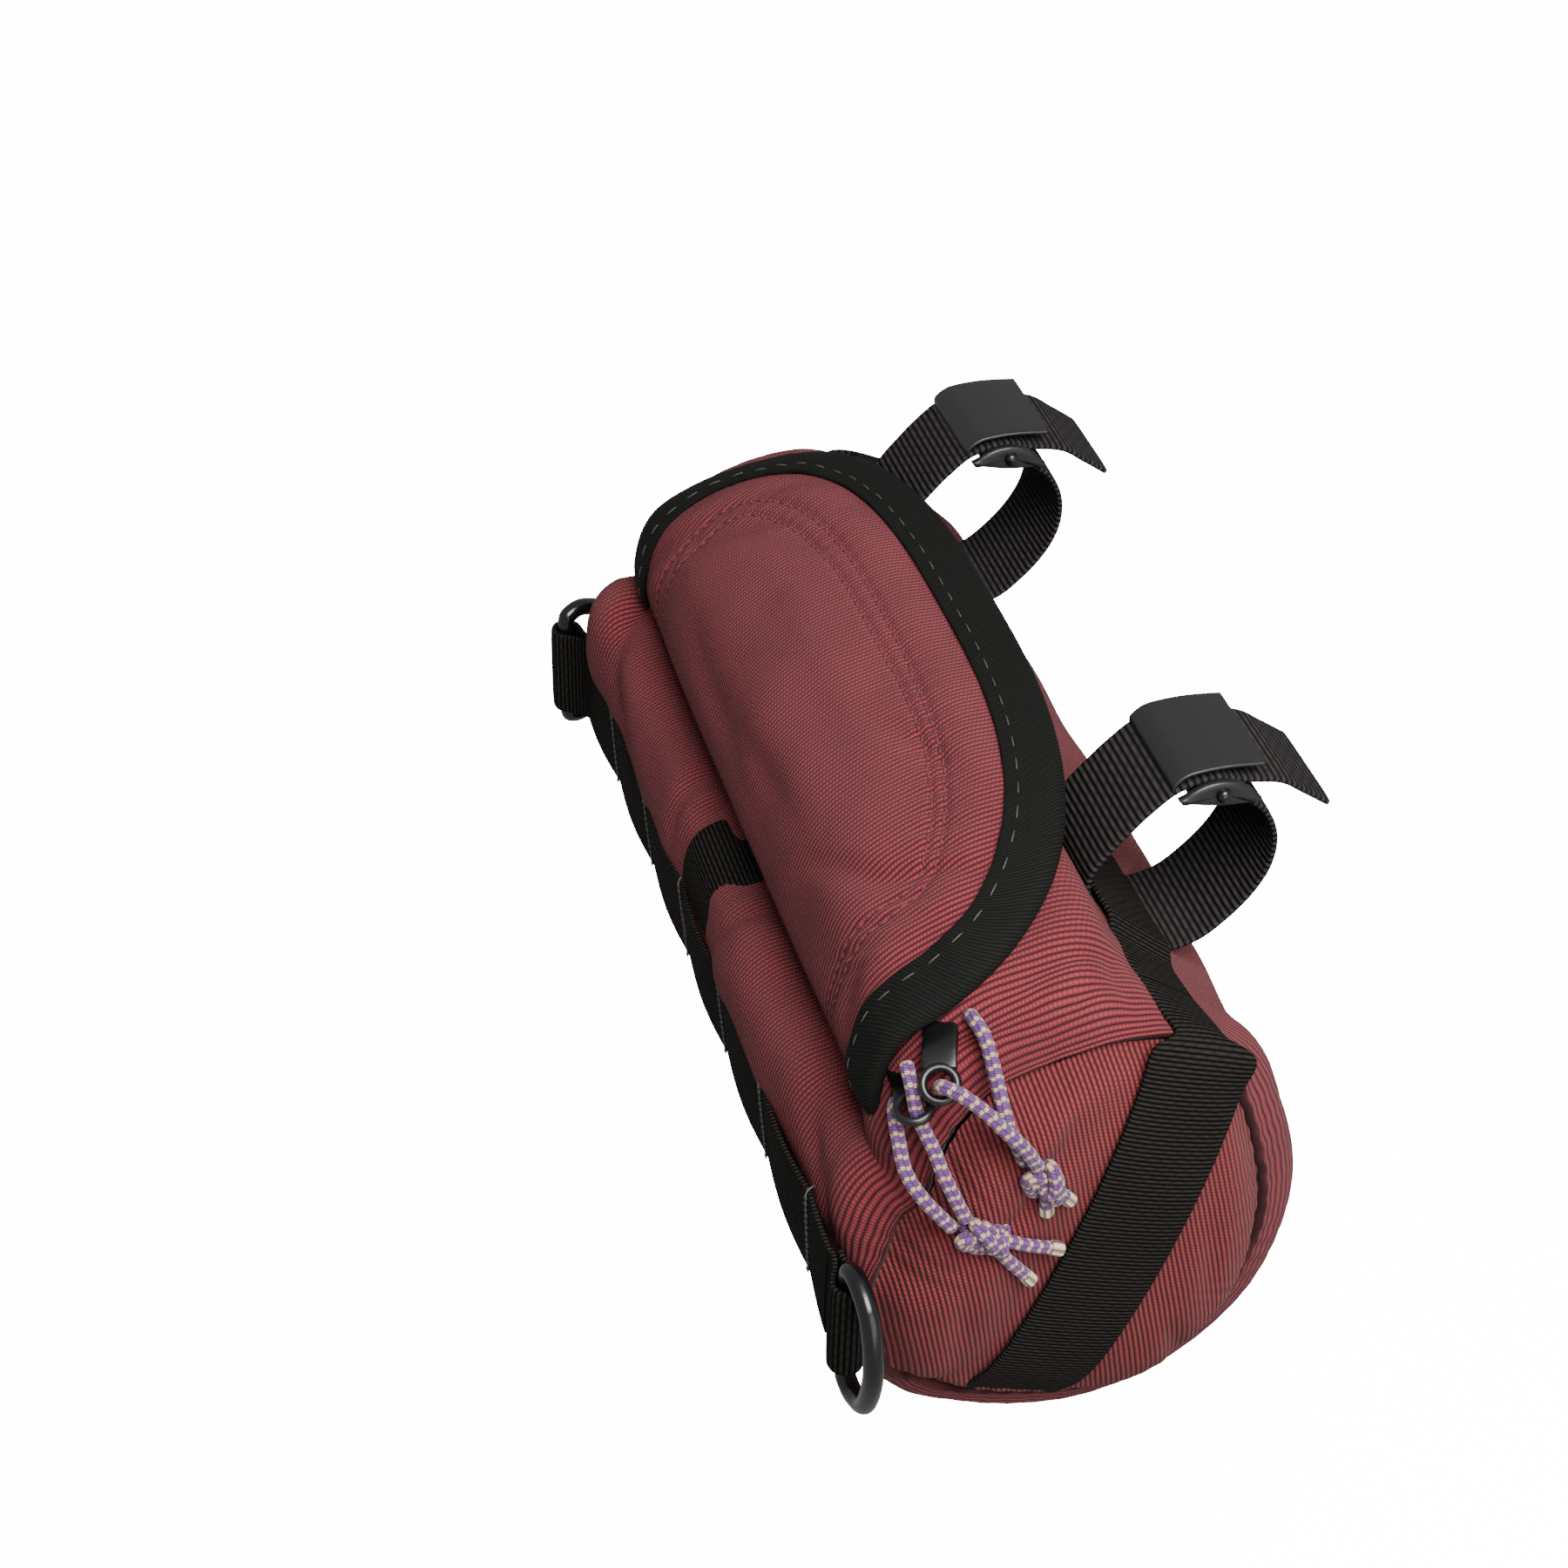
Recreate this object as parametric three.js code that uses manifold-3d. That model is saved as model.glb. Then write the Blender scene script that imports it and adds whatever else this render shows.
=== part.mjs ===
// Handlebar bag: a soft barrel of pack cloth under a bound lid flap, hung by two straps from a handlebar.
// Millimetres. X runs along the handlebar (+X is the near end), -Y is the front, +Z is up.
// The origin is on the handlebar's axis, midway between the two straps.
import * as THREE from 'three';
import { mergeVertices } from 'three/addons/utils/BufferGeometryUtils.js';
import Module from 'manifold-3d';

// Driving dimensions
const handlebarDiameter = 31.8;
const strapSpacing = 131;
const bodyLength = 220;
const barrelDepth = 107.5;
const barrelHeight = 146.5;
const barrelTuck = 24.9;
const barrelRise = 31.4;
const barrelSwell = 3.2;
const panelDepth = 92.5;
const panelHeight = 110.8;
const panelInset = 9;
const panelDrop = 23.7;
const panelBulge = 8;
const panelCrown = 2.4;
const clothWall = 2;
const clearance = 0.3;

const lidLength = 196;
const lidRise = 6.7;
const lidCreaseRise = 3;
const lidCreaseOut = 3.1;
const lidSwell = 3.4;
const lidSide = 40;
const lidRoundness = 2.8;
const bindingWidth = 11;
const bindingThickness = 1;
const bindingStart = 5;

const zipHalfLength = 79;
const zipFront = 22;
const zipSide = 38;
const zipBack = 71;
const zipTapeWidth = 14;
const zipLift = 0.7;
const zipTapeThickness = 0.8;
const zipCoilDrop = 0.8;
const zipCoilWidth = 5;
const zipCoilHeight = 1.6;
const mouthMargin = 5;
const mouthFront = 13;
const sliderWidth = 9;
const sliderLength = 12;
const sliderHeight = 2.4;
const sliderPitch = 13;
const pullWidth = 6;
const pullThickness = 1.6;
const pullEye = 5.4;
const pullEyeWall = 1.7;

const webbingWidth = 25;
const webbingThickness = 1.6;
const webbingLift = 0.5;
const daisyRise = 89;
const daisyOut = 1.7;
const daisyLean = 2.4;
const daisyEndLean = 5;
const daisyHalfLength = 110;
const daisyPitch = 35;
const daisyShift = 23;
const daisySlack = 1.2;
const backHalfLength = 96;
const strapGap = 0.4;
const backDrop = 9;
const hopShoulder = 2;
const hopRun = 7;
const seamLift = 1;
const endFootShift = 4;
const endWebbingLift = 0.9;
const endFootShare = 0.08;
const loopReach = 13;
const ringBar = 4.5;
const ringDepth = 19;
const ringSlack = 4;

const strapWidth = 25;
const strapThickness = 1.6;
const buckleWall = 2;
const buckleAngle = 110;
const buckleSpread = 20;
const barPlateLift = 3;
const barPlateThickness = 1;
const earSpread = 28;
const earLift = 3.5;
const earHeight = 6;
const earTip = 0.25;
const rivetDiameter = 3.2;
const rivetHeight = 0.8;
const coverWidth = 25;
const coverThickness = 1.2;

const cordDiameter = 3;
const knotDiameter = 8.5;
const knotLength = 13;
const tailLean = 0.2;

// Smoothness
const stepsAlong = 12;
const stepsEdge = 40;
const stepsZip = 30;
const cordSides = 8;
const cordSteps = 9;

// Worked out from the sizes above
const degree = Math.PI / 180;
const halfBody = bodyLength / 2;
const barRadius = handlebarDiameter / 2;
const barrelBack = barrelTuck - barRadius;
const barrelTop = barrelRise - barRadius;
const barrelFront = barrelBack - barrelDepth;
const barrelBottom = barrelTop - barrelHeight;
const panelFront = barrelBack - panelInset - panelDepth;
const panelBottom = barrelTop - panelDrop - panelHeight;
const daisyTop = barrelBottom + daisyRise;
const daisyFront = barrelFront - daisyOut;
const ringLength = webbingWidth + 2 * ringBar + ringSlack;
const buckleWidth = strapWidth + 2 * (buckleWall + clearance);
const cordRadius = cordDiameter / 2;

// Section of the barrel, going up from the crease over the top and round the back.
// Shares of depth from the front and of height from the bottom, at the middle and at each end seam.
const barrelSections = [
  // name, middle depth, middle height, near depth, near height, far depth, far height, rows to the next
  ['crease', 0.186, 0.706, 0.141, 0.772, 0.147, 0.865, 3],
  ['shoulderLow', 0.191, 0.805, 0.178, 0.835, 0.184, 0.934, 2],
  ['shoulder', 0.270, 0.911, 0.254, 0.921, 0.265, 0.984, 2],
  ['crownFront', 0.386, 0.973, 0.373, 0.986, 0.373, 1.012, 2],
  ['crown', 0.535, 1.000, 0.514, 1.000, 0.514, 1.030, 2],
  ['crownBack', 0.651, 0.983, 0.665, 0.993, 0.665, 1.018, 3],
  ['backLip', 0.679, 0.874, 0.805, 0.943, 0.803, 0.955, 4],
  ['underBar', 0.828, 0.713, 0.919, 0.853, 0.919, 0.853, 4],
  ['backHigh', 0.935, 0.580, 0.989, 0.668, 0.989, 0.668, 2],
  ['back', 1.000, 0.362, 0.998, 0.397, 0.998, 0.397, 2],
  ['backLow', 0.935, 0.157, 0.903, 0.190, 0.903, 0.190, 3],
  ['bottomBack', 0.730, 0.034, 0.730, 0.050, 0.730, 0.050, 3],
  ['bottom', 0.470, 0.000, 0.503, 0.002, 0.503, 0.002, 2],
  ['bottomFront', 0.209, 0.068, 0.254, 0.077, 0.254, 0.077, 3],
  ['frontLow', 0.042, 0.239, 0.049, 0.212, 0.049, 0.212, 3],
  ['front', 0.000, 0.430, 0.000, 0.406, -0.011, 0.424, 2],
  ['frontHigh', 0.019, 0.580, 0.022, 0.596, -0.016, 0.641, 2],
  ['roll', 0.070, 0.676, 0.076, 0.713, 0.027, 0.839, 3],
];

// Section of the lid's upper face from the crease to its back rim, as shares of its reach and height.
const lidSections = [
  // name, middle reach, middle height, end reach, end height
  ['crease', 0.000, 0.000, 0.008, 0.011],
  ['front', -0.008, 0.278, 0.015, 0.268],
  ['shoulder', 0.130, 0.685, 0.119, 0.514],
  ['crownFront', 0.372, 0.899, 0.311, 0.610],
  ['crown', 0.617, 0.991, 0.556, 0.653],
  ['crownBack', 0.816, 1.000, 0.786, 0.653],
  ['rim', 1.000, 0.974, 0.985, 0.610],
];

// Middle lines of the sliders' pulls, from the slider out past the lid's edge, and the way across
// each at its slider and at its tip.
const pullRows = [
  {
    number: 1,
    line: [
      [84.6, -63.5, 2], [91, -63.4, -0.1], [98.5, -63.8, -1.4], [105, -66.3, -1.8], [110.5, -68.4, -4.4],
      [113, -68.8, -7.6],
    ],
    acrossSlider: [0, 0.85, 0.5],
    acrossTip: [0.25, 0.95, -0.15],
  },
  {
    number: 2,
    line: [
      [84.6, -74.9, -8.3], [91, -73.9, -10.4], [98.5, -73.4, -10.2], [104, -73.9, -9.6], [109, -74.2, -9.8],
      [113.2, -74.8, -10.8],
    ],
    acrossSlider: [0, 0.66, 0.75],
    acrossTip: [0.25, 0.95, -0.15],
  },
];

// Outline of a D-ring from the middle of its bar, as shares of its reach and half length.
const ringOutline = [
  // name, outwards, upwards
  ['barMiddle', 0, 0],
  ['barHigh', 0, 0.8],
  ['cornerHigh', 0.1, 0.98],
  ['shoulderHigh', 0.42, 0.99],
  ['bowHigh', 0.8, 0.74],
  ['bowMiddle', 1, 0],
  ['bowLow', 0.8, -0.74],
  ['shoulderLow', 0.42, -0.99],
  ['cornerLow', 0.1, -0.98],
  ['barLow', 0, -0.8],
];

// How far each webbing loop swings forwards, and its D-ring backwards from it, in degrees.
const ringEnds = [
  { end: 'near', side: 1, loopSwing: 0, ringSwing: 5 },
  { end: 'far', side: -1, loopSwing: 35, ringSwing: 100 },
];

// Route of a handlebar strap: the angle up from the front and the height of its middle off the bar.
// It starts at the buckle, goes down behind the bar, up the bag's back, over the bar and through the buckle.
const strapRoute = [
  // angle, lift
  [131, 1.9],
  [155, 1.9],
  [180, 1.9],
  [205, 1.9],
  [230, 2.2],
  [255, 3.8],
  [275, 6.6],
  [293, 8.2],
  [310, 5.8],
  [325, 5.2],
  [340, 5.95],
  [355, 8.1],
  [372, 7.6],
  [388, 5.2],
  [405, 3.6],
  [425, 3.6],
  [445, 5.0],
  [465, 5.7],
  [483, 5.7],
];

// The free tail of the strap past the buckle, and the rows of the buckle's cover from front to back:
// distance behind the bar's axis and height over it.
const strapTail = [[20, 14.5], [25, 9.5], [30, 4]];
const coverRows = [[-2.4, 22.3], [0.5, 23.3], [9, 22.3], [17, 19.9]];

// Routes of the elastic cords, from the pull's eye to the knot, chosen by hand.
const cordRoutes = {
  '1a': [
    [98.3, -57.6, -0.4], [102.3, -57.6, 2.2], [107, -56.9, 0.6], [112, -57.2, -5.3], [116.5, -57.8, -9],
    [119, -57.9, -13.5], [121, -56.4, -22.3],
  ],
  '1b': [
    [110.9, -68.7, -4.6], [113.4, -68.4, -1.9], [116.8, -65.6, -2.3], [119.8, -62.3, -5.6],
    [122.6, -59.5, -9.8], [124, -56.6, -15], [123.9, -54.5, -21.8],
  ],
  '2a': [
    [99.9, -75.9, -15.7], [105.2, -77.7, -13], [109.5, -78.8, -16.6], [114, -79.4, -21.8],
    [118, -77.7, -26.8], [120.4, -73.6, -35.1],
  ],
  '2b': [
    [104.5, -73.2, -2], [107.6, -73.6, -5.6], [109.2, -74, -10], [110.8, -73.6, -14.4], [113.8, -72.8, -18.6],
    [117.4, -72.4, -23.4], [120.9, -70.5, -33.3],
  ],
};
const knotPlaces = {
  // name: centre, direction out of the knot, length of its tails
  1: { centre: [121.9, -53.2, -28.4], out: [0, 0.2, -0.98], tail: 3 },
  2: { centre: [121.6, -67.8, -39.2], out: [0.12, 0.66, -0.75], tail: 10 },
};

const wasm = await Module();
wasm.setup();

// Colours and finishes
const cloth = new THREE.MeshStandardMaterial({ color: 0x7c3840, roughness: 0.85, metalness: 0 });
const webbing = new THREE.MeshStandardMaterial({ color: 0x1a1a1b, roughness: 0.75, metalness: 0 });
const bindingTape = new THREE.MeshStandardMaterial({ color: 0x232423, roughness: 0.85, metalness: 0 });
const zipPlastic = new THREE.MeshStandardMaterial({ color: 0x0e0e0f, roughness: 0.3, metalness: 0 });
const hardPlastic = new THREE.MeshStandardMaterial({ color: 0x151515, roughness: 0.35, metalness: 0 });
const blackMetal = new THREE.MeshStandardMaterial({ color: 0x17181a, roughness: 0.4, metalness: 0.6 });
const elastic = new THREE.MeshStandardMaterial({ color: 0x7d5aa0, roughness: 0.7, metalness: 0 });

const bag = new THREE.Group();

function addPiece(name, geometry, material, parent = bag) {
  const mesh = new THREE.Mesh(geometry, material);
  mesh.name = name;
  parent.add(mesh);
  return mesh;
}

function share(index, count) {
  return index / count;
}

// A closed mesh from triangles of points, with shared corners merged and its faces turned outwards.
function solidFromTriangles(triangles) {
  const positions = new Float32Array(triangles.flatMap((corner) => [corner.x, corner.y, corner.z]));
  const loose = new THREE.BufferGeometry();
  loose.setAttribute('position', new THREE.BufferAttribute(positions, 3));
  const merged = mergeVertices(loose, 1e-3);
  const index = merged.index.array;
  const kept = [];
  const a = new THREE.Vector3();
  const b = new THREE.Vector3();
  const c = new THREE.Vector3();
  let volume = 0;
  for (let i = 0; i < index.length; i += 3) {
    const [p, q, r] = [index[i], index[i + 1], index[i + 2]];
    if (p === q || q === r || r === p) continue;
    kept.push(p, q, r);
    a.fromBufferAttribute(merged.attributes.position, p);
    b.fromBufferAttribute(merged.attributes.position, q);
    c.fromBufferAttribute(merged.attributes.position, r);
    volume += a.dot(b.cross(c)) / 6;
  }
  if (volume < 0) {
    for (let i = 0; i < kept.length; i += 3) {
      [kept[i + 1], kept[i + 2]] = [kept[i + 2], kept[i + 1]];
    }
  }
  merged.setIndex(kept);
  return merged;
}

// The same for a three.js geometry, whose caps and sides have corners of their own.
function closed(geometry) {
  const loose = geometry.index ? geometry.toNonIndexed() : geometry;
  const position = loose.attributes.position;
  return solidFromTriangles(Array.from({ length: position.count }, (_, i) =>
    new THREE.Vector3().fromBufferAttribute(position, i)));
}

// A wall between two grids of points. Rows close on themselves when wrapped.
function wallBetween(outer, inner, wrapped = false) {
  const rows = outer.length;
  const columns = outer[0].length;
  const triangles = [];
  const quad = (a, b, c, d) => triangles.push(a, b, c, a, c, d);
  const lastRow = wrapped ? rows : rows - 1;
  for (let i = 0; i < lastRow; i += 1) {
    const next = (i + 1) % rows;
    for (let j = 0; j < columns - 1; j += 1) {
      quad(outer[i][j], outer[next][j], outer[next][j + 1], outer[i][j + 1]);
      quad(inner[i][j], inner[i][j + 1], inner[next][j + 1], inner[next][j]);
    }
    quad(outer[i][0], inner[i][0], inner[next][0], outer[next][0]);
    quad(outer[next][columns - 1], inner[next][columns - 1], inner[i][columns - 1], outer[i][columns - 1]);
  }
  if (!wrapped) {
    for (let j = 0; j < columns - 1; j += 1) {
      quad(outer[0][j + 1], inner[0][j + 1], inner[0][j], outer[0][j]);
      quad(outer[rows - 1][j], inner[rows - 1][j], inner[rows - 1][j + 1], outer[rows - 1][j + 1]);
    }
  }
  return solidFromTriangles(triangles);
}

function toManifold(geometry) {
  const bare = geometry.clone();
  bare.deleteAttribute('normal');
  bare.deleteAttribute('uv');
  const merged = mergeVertices(bare, 1e-3);
  return new wasm.Manifold(new wasm.Mesh({
    numProp: 3,
    vertProperties: new Float32Array(merged.attributes.position.array),
    triVerts: new Uint32Array(merged.index.array),
  }));
}

function fromManifold(solid) {
  const mesh = solid.getMesh();
  const geometry = new THREE.BufferGeometry();
  geometry.setAttribute('position', new THREE.BufferAttribute(new Float32Array(mesh.vertProperties), 3));
  geometry.setIndex(Array.from(mesh.triVerts));
  return geometry;
}

// The soft forms. Each takes a place along X and a length round the section from the crease.
function splinePoint(points, key, closed) {
  const count = points.length;
  const within = (n) => Math.min(Math.max(n, 0), count - 1);
  const at = (n) => points[closed ? ((n % count) + count) % count : within(n)];
  const first = Math.floor(key);
  const t = key - first;
  const [p0, p1, p2, p3] = [at(first - 1), at(first), at(first + 1), at(first + 2)];
  return [0, 1].map((n) => 0.5 * (2 * p1[n] + (p2[n] - p0[n]) * t
    + (2 * p0[n] - 5 * p1[n] + 4 * p2[n] - p3[n]) * t * t
    + (3 * p1[n] - p0[n] - 3 * p2[n] + p3[n]) * t * t * t));
}

// Table of length round a section against key number, so that places can be given in millimetres.
function lengthTable(points, closed) {
  const steps = 20;
  const keys = closed ? points.length : points.length - 1;
  const table = [0];
  let before = splinePoint(points, 0, closed);
  for (let i = 1; i <= keys * steps; i += 1) {
    const here = splinePoint(points, i / steps, closed);
    table.push(table[i - 1] + Math.hypot(here[0] - before[0], here[1] - before[1]));
    before = here;
  }
  return (length) => {
    const total = table[table.length - 1];
    let wanted = closed ? ((length % total) + total) % total : Math.min(Math.max(length, 0), total);
    let low = 0;
    while (low < table.length - 2 && table[low + 1] < wanted) low += 1;
    wanted = (wanted - table[low]) / (table[low + 1] - table[low]);
    return (low + wanted) / steps;
  };
}

const barrelPoint = ([depth, height]) =>
  [barrelFront + depth * barrelDepth, barrelBottom + height * barrelHeight];
const panelPoint = ([depth, height]) => [panelFront + depth * panelDepth, panelBottom + height * panelHeight];
const middleSection = barrelSections.map((row) => barrelPoint([row[1], row[2]]));
const nearSection = barrelSections.map((row) => panelPoint([row[3], row[4]]));
const farSection = barrelSections.map((row) => panelPoint([row[5], row[6]]));
const bodyKey = lengthTable(middleSection, true);

function bodySection(x, around) {
  const key = bodyKey(around);
  const pull = Math.abs(x / halfBody) ** barrelSwell;
  const middle = splinePoint(middleSection, key, true);
  const end = splinePoint(x < 0 ? farSection : nearSection, key, true);
  const [y, z] = [0, 1].map((n) => middle[n] + (end[n] - middle[n]) * pull);
  return new THREE.Vector3(x, y, z);
}

const bodyCrease = middleSection[0];
const lidCreaseFront = bodyCrease[0] - lidCreaseOut;
const lidCreaseHeight = bodyCrease[1] + lidCreaseRise;
const lidReach = -barRadius - lidCreaseFront;
const lidHeight = barrelTop + lidRise - lidCreaseHeight;
const lidPlace = ([reach, height]) =>
  [lidCreaseFront + reach * lidReach, lidCreaseHeight + height * lidHeight];
const lidMiddle = lidSections.map((row) => lidPlace([row[1], row[2]]));
const lidEnd = lidSections.map((row) => lidPlace([row[3], row[4]]));
const lidKey = lengthTable(lidMiddle, false);
const lidChord = (p, q) => Math.hypot(p[0] - q[0], p[1] - q[1]);
const lidBack = lidMiddle.slice(1).reduce((sum, p, i) => sum + lidChord(p, lidMiddle[i]), 0);

function lidSection(x, around) {
  const key = lidKey(around);
  const pull = Math.min(Math.abs(x / (lidLength / 2)), 1) ** lidSwell;
  const middle = splinePoint(lidMiddle, key, false);
  const end = splinePoint(lidEnd, key, false);
  const [y, z] = [0, 1].map((n) => middle[n] + (end[n] - middle[n]) * pull);
  return new THREE.Vector3(x, y, z);
}

// A point lifted off a soft form along its own normal.
function lifted(section, x, around, lift) {
  const step = 0.5;
  const along = section(x + step, around).sub(section(x - step, around));
  const round = section(x, around + step).sub(section(x, around - step));
  const normal = round.cross(along).normalize();
  return section(x, around).addScaledVector(normal, -lift);
}
const onBody = (x, around, lift) => lifted(bodySection, x, around, lift);
const onLid = (x, around, lift) => lifted(lidSection, x, around, lift);

// A D-shaped edge: straight up one side, round the back, and down the other side.
function dEdge(half, front, side, back, roundness, s) {
  const sideShare = 0.16;
  if (s < sideShare) return [-half, front + (side - front) * (s / sideShare)];
  if (s > 1 - sideShare) return [half, front + (side - front) * ((1 - s) / sideShare)];
  const turn = Math.PI * ((s - sideShare) / (1 - 2 * sideShare));
  const c = Math.cos(turn);
  return [
    -half * Math.sign(c) * Math.abs(c) ** (2 / roundness),
    side + (back - side) * Math.sin(turn) ** (2 / roundness),
  ];
}

// The same edge moved inwards along its own normal.
function inset(edge, s, distance) {
  const step = 0.004;
  const before = edge(Math.max(s - step, 0));
  const after = edge(Math.min(s + step, 1));
  const run = [after[0] - before[0], after[1] - before[1]];
  const length = Math.hypot(run[0], run[1]);
  const [x, around] = edge(s);
  return [x + (run[1] / length) * distance, around - (run[0] / length) * distance];
}

function edgeLength(edge) {
  const fine = 600;
  let sum = 0;
  for (let i = 0; i < fine; i += 1) {
    const a = edge(share(i, fine));
    const b = edge(share(i + 1, fine));
    sum += Math.hypot(a[0] - b[0], a[1] - b[1]);
  }
  return sum;
}

// Evenly spaced places along a D-shaped edge.
function evenShares(edge, count) {
  const fine = 600;
  const lengths = [0];
  for (let i = 1; i <= fine; i += 1) {
    const a = edge(share(i - 1, fine));
    const b = edge(share(i, fine));
    lengths.push(lengths[i - 1] + Math.hypot(a[0] - b[0], a[1] - b[1]));
  }
  return Array.from({ length: count + 1 }, (_, i) => {
    const wanted = lengths[fine] * share(i, count);
    let n = lengths.findIndex((value) => value >= wanted - 1e-9);
    n = Math.max(n, 1);
    return (n - 1 + (wanted - lengths[n - 1]) / (lengths[n] - lengths[n - 1])) / fine;
  });
}

// Barrel with its mouth
const lidEdge = (s) => dEdge(lidLength / 2, 0, lidSide, lidBack, lidRoundness, s);
const zipEdge = (s) => dEdge(zipHalfLength, zipFront, zipSide, zipBack, lidRoundness, s);
const mouthEdge = (s) =>
  dEdge(zipHalfLength + mouthMargin, mouthFront, zipSide, zipBack + mouthMargin, lidRoundness, s);
const girth = (() => {
  const steps = 400;
  let sum = 0;
  for (let i = 0; i < steps; i += 1) {
    const a = splinePoint(middleSection, share(i, steps) * middleSection.length, true);
    const b = splinePoint(middleSection, share(i + 1, steps) * middleSection.length, true);
    sum += Math.hypot(a[0] - b[0], a[1] - b[1]);
  }
  return sum;
})();

// Length round the middle section from the crease to a place between the rows of the table.
function aroundAt(key) {
  const steps = 40;
  const whole = Math.round(key * steps);
  let sum = 0;
  for (let i = 0; i < whole; i += 1) {
    const a = splinePoint(middleSection, i / steps, true);
    const b = splinePoint(middleSection, (i + 1) / steps, true);
    sum += Math.hypot(a[0] - b[0], a[1] - b[1]);
  }
  return sum;
}
const aroundOf = (name) => aroundAt(barrelSections.findIndex((row) => row[0] === name));
const barrelRows = barrelSections.flatMap((row, i) =>
  Array.from({ length: row[7] }, (_, n) => aroundAt(i + share(n, row[7]))));

// Length round the front, down from the crease, to a given height.
function aroundDownTo(height) {
  let around = 0;
  while (bodySection(0, around).z > height && around > -girth / 4) around -= 0.25;
  return around;
}

function barrelGrid(lift) {
  return barrelRows.map((around) =>
    Array.from({ length: stepsAlong + 1 }, (_, j) => {
      const x = -halfBody * Math.cos(Math.PI * share(j, stepsAlong));
      return onBody(x, around, lift).setX(x);
    }));
}

function mouthCutter() {
  const reach = 3 * clothWall;
  const across = 5;
  const layer = (lift) => evenShares(mouthEdge, stepsEdge).map((s, i) => {
    const [edgeX, edgeAround] = mouthEdge(s);
    const frontX = -mouthEdge(0)[0] * (2 * share(i, stepsEdge) - 1);
    return Array.from({ length: across + 1 }, (_, j) => {
      const t = share(j, across);
      return onBody(frontX + (edgeX - frontX) * t, mouthFront + (edgeAround - mouthFront) * t, lift);
    });
  });
  return wallBetween(layer(reach), layer(-reach));
}

const barrel = toManifold(wallBetween(barrelGrid(0), barrelGrid(-clothWall), true));
addPiece('bag_body', fromManifold(barrel.subtract(toManifold(mouthCutter()))), cloth);

// Pillowed end panels
function panelSurface(side, round, ring, extra) {
  const seam = bodySection(side * halfBody, girth * round);
  const centreY = panelFront + panelDepth / 2;
  const centreZ = panelBottom + panelHeight / 2;
  const rise = panelBulge * (1 - ring ** panelCrown);
  return new THREE.Vector3(
    side * (halfBody + clearance + rise + extra),
    centreY + (seam.y - centreY) * ring,
    centreZ + (seam.z - centreZ) * ring,
  );
}

function endPanel(side) {
  const rings = 4;
  const around = 30;
  const layer = (extra) => Array.from({ length: around }, (_, i) =>
    Array.from({ length: rings + 1 }, (_unused, j) =>
      panelSurface(side, share(i, around), share(j, rings), extra)));
  return wallBetween(layer(clothWall), layer(0), true);
}

addPiece('end_panel_near', endPanel(1), cloth);
addPiece('end_panel_far', endPanel(-1), cloth);

// Lid flap and the binding folded round its free edge
const lidShares = evenShares(lidEdge, stepsEdge);

function lidFlap() {
  const across = 5;
  const layer = (lift) => lidShares.map((s, i) => {
    const [edgeX, edgeAround] = lidEdge(s);
    const creaseX = (lidLength / 2) * (2 * share(i, stepsEdge) - 1);
    return Array.from({ length: across + 1 }, (_, j) => {
      const t = share(j, across);
      return onLid(creaseX + (edgeX - creaseX) * t, edgeAround * t, lift);
    });
  });
  return wallBetween(layer(0), layer(-clothWall));
}

function flapBinding() {
  const outside = -(clearance + bindingThickness);
  const under = -clothWall;
  const rows = lidShares.filter((s) => lidEdge(s)[1] > bindingStart);
  const row = (places) => (s) => places.map(([distance, lift]) => {
    const [x, around] = inset(lidEdge, s, distance);
    return onLid(x, around, lift);
  });
  const outer = row([
    [bindingWidth, clearance + bindingThickness],
    [outside, clearance + bindingThickness],
    [outside, under - clearance - bindingThickness],
    [bindingWidth, under - clearance - bindingThickness],
  ]);
  const inner = row([
    [bindingWidth, clearance],
    [-clearance, clearance],
    [-clearance, under - clearance],
    [bindingWidth, under - clearance],
  ]);
  return wallBetween(rows.map(outer), rows.map(inner));
}

addPiece('lid_flap', lidFlap(), cloth);
addPiece('flap_binding', flapBinding(), bindingTape);

// Zip: tape and teeth in a U, two sliders parked at its near end, and their eyed pulls
const zipShares = evenShares(zipEdge, stepsZip);
const zipLength = edgeLength(zipEdge);
const teethStop = 1 - (2 * sliderPitch + clearance) / zipLength;

function zipBand(halfWidth, low, high, shares) {
  const layer = (lift) => shares.map((s) => [-halfWidth, 0, halfWidth].map((distance) => {
    const [x, around] = inset(zipEdge, s, distance);
    return onBody(x, around, lift);
  }));
  return wallBetween(layer(high), layer(low));
}

// The teeth lie under the tape, in the gap between the mouth's edge and the lid.
const tapeTop = zipLift + zipTapeThickness;
const sliderLow = tapeTop + clearance;
addPiece('zipper_tape', zipBand(zipTapeWidth / 2, zipLift, tapeTop, zipShares), webbing);
const teethShares = zipShares.filter((s, i) => share(i, stepsZip) < teethStop);
const teethTop = zipLift - zipCoilDrop;
const coil = zipBand(zipCoilWidth / 2, teethTop - zipCoilHeight, teethTop, teethShares);
addPiece('zipper_coil', coil, zipPlastic);

function zipShareAt(fromNearEnd) {
  const fine = 400;
  const shares = evenShares(zipEdge, fine);
  return shares[Math.round(fine * (1 - fromNearEnd / zipLength))];
}

for (const number of [1, 2]) {
  const start = (2 - number) * sliderPitch + clearance;
  const shares = [start, start + sliderLength / 2, start + sliderLength].map(zipShareAt);
  const slider = zipBand(sliderWidth / 2, sliderLow, sliderLow + sliderHeight, shares);
  addPiece(`zipper_slider_${number}`, slider, zipPlastic);
}

function curveThrough(places) {
  return new THREE.CatmullRomCurve3(places.map((p) => new THREE.Vector3(...p)), false, 'catmullrom', 0.5);
}

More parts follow.
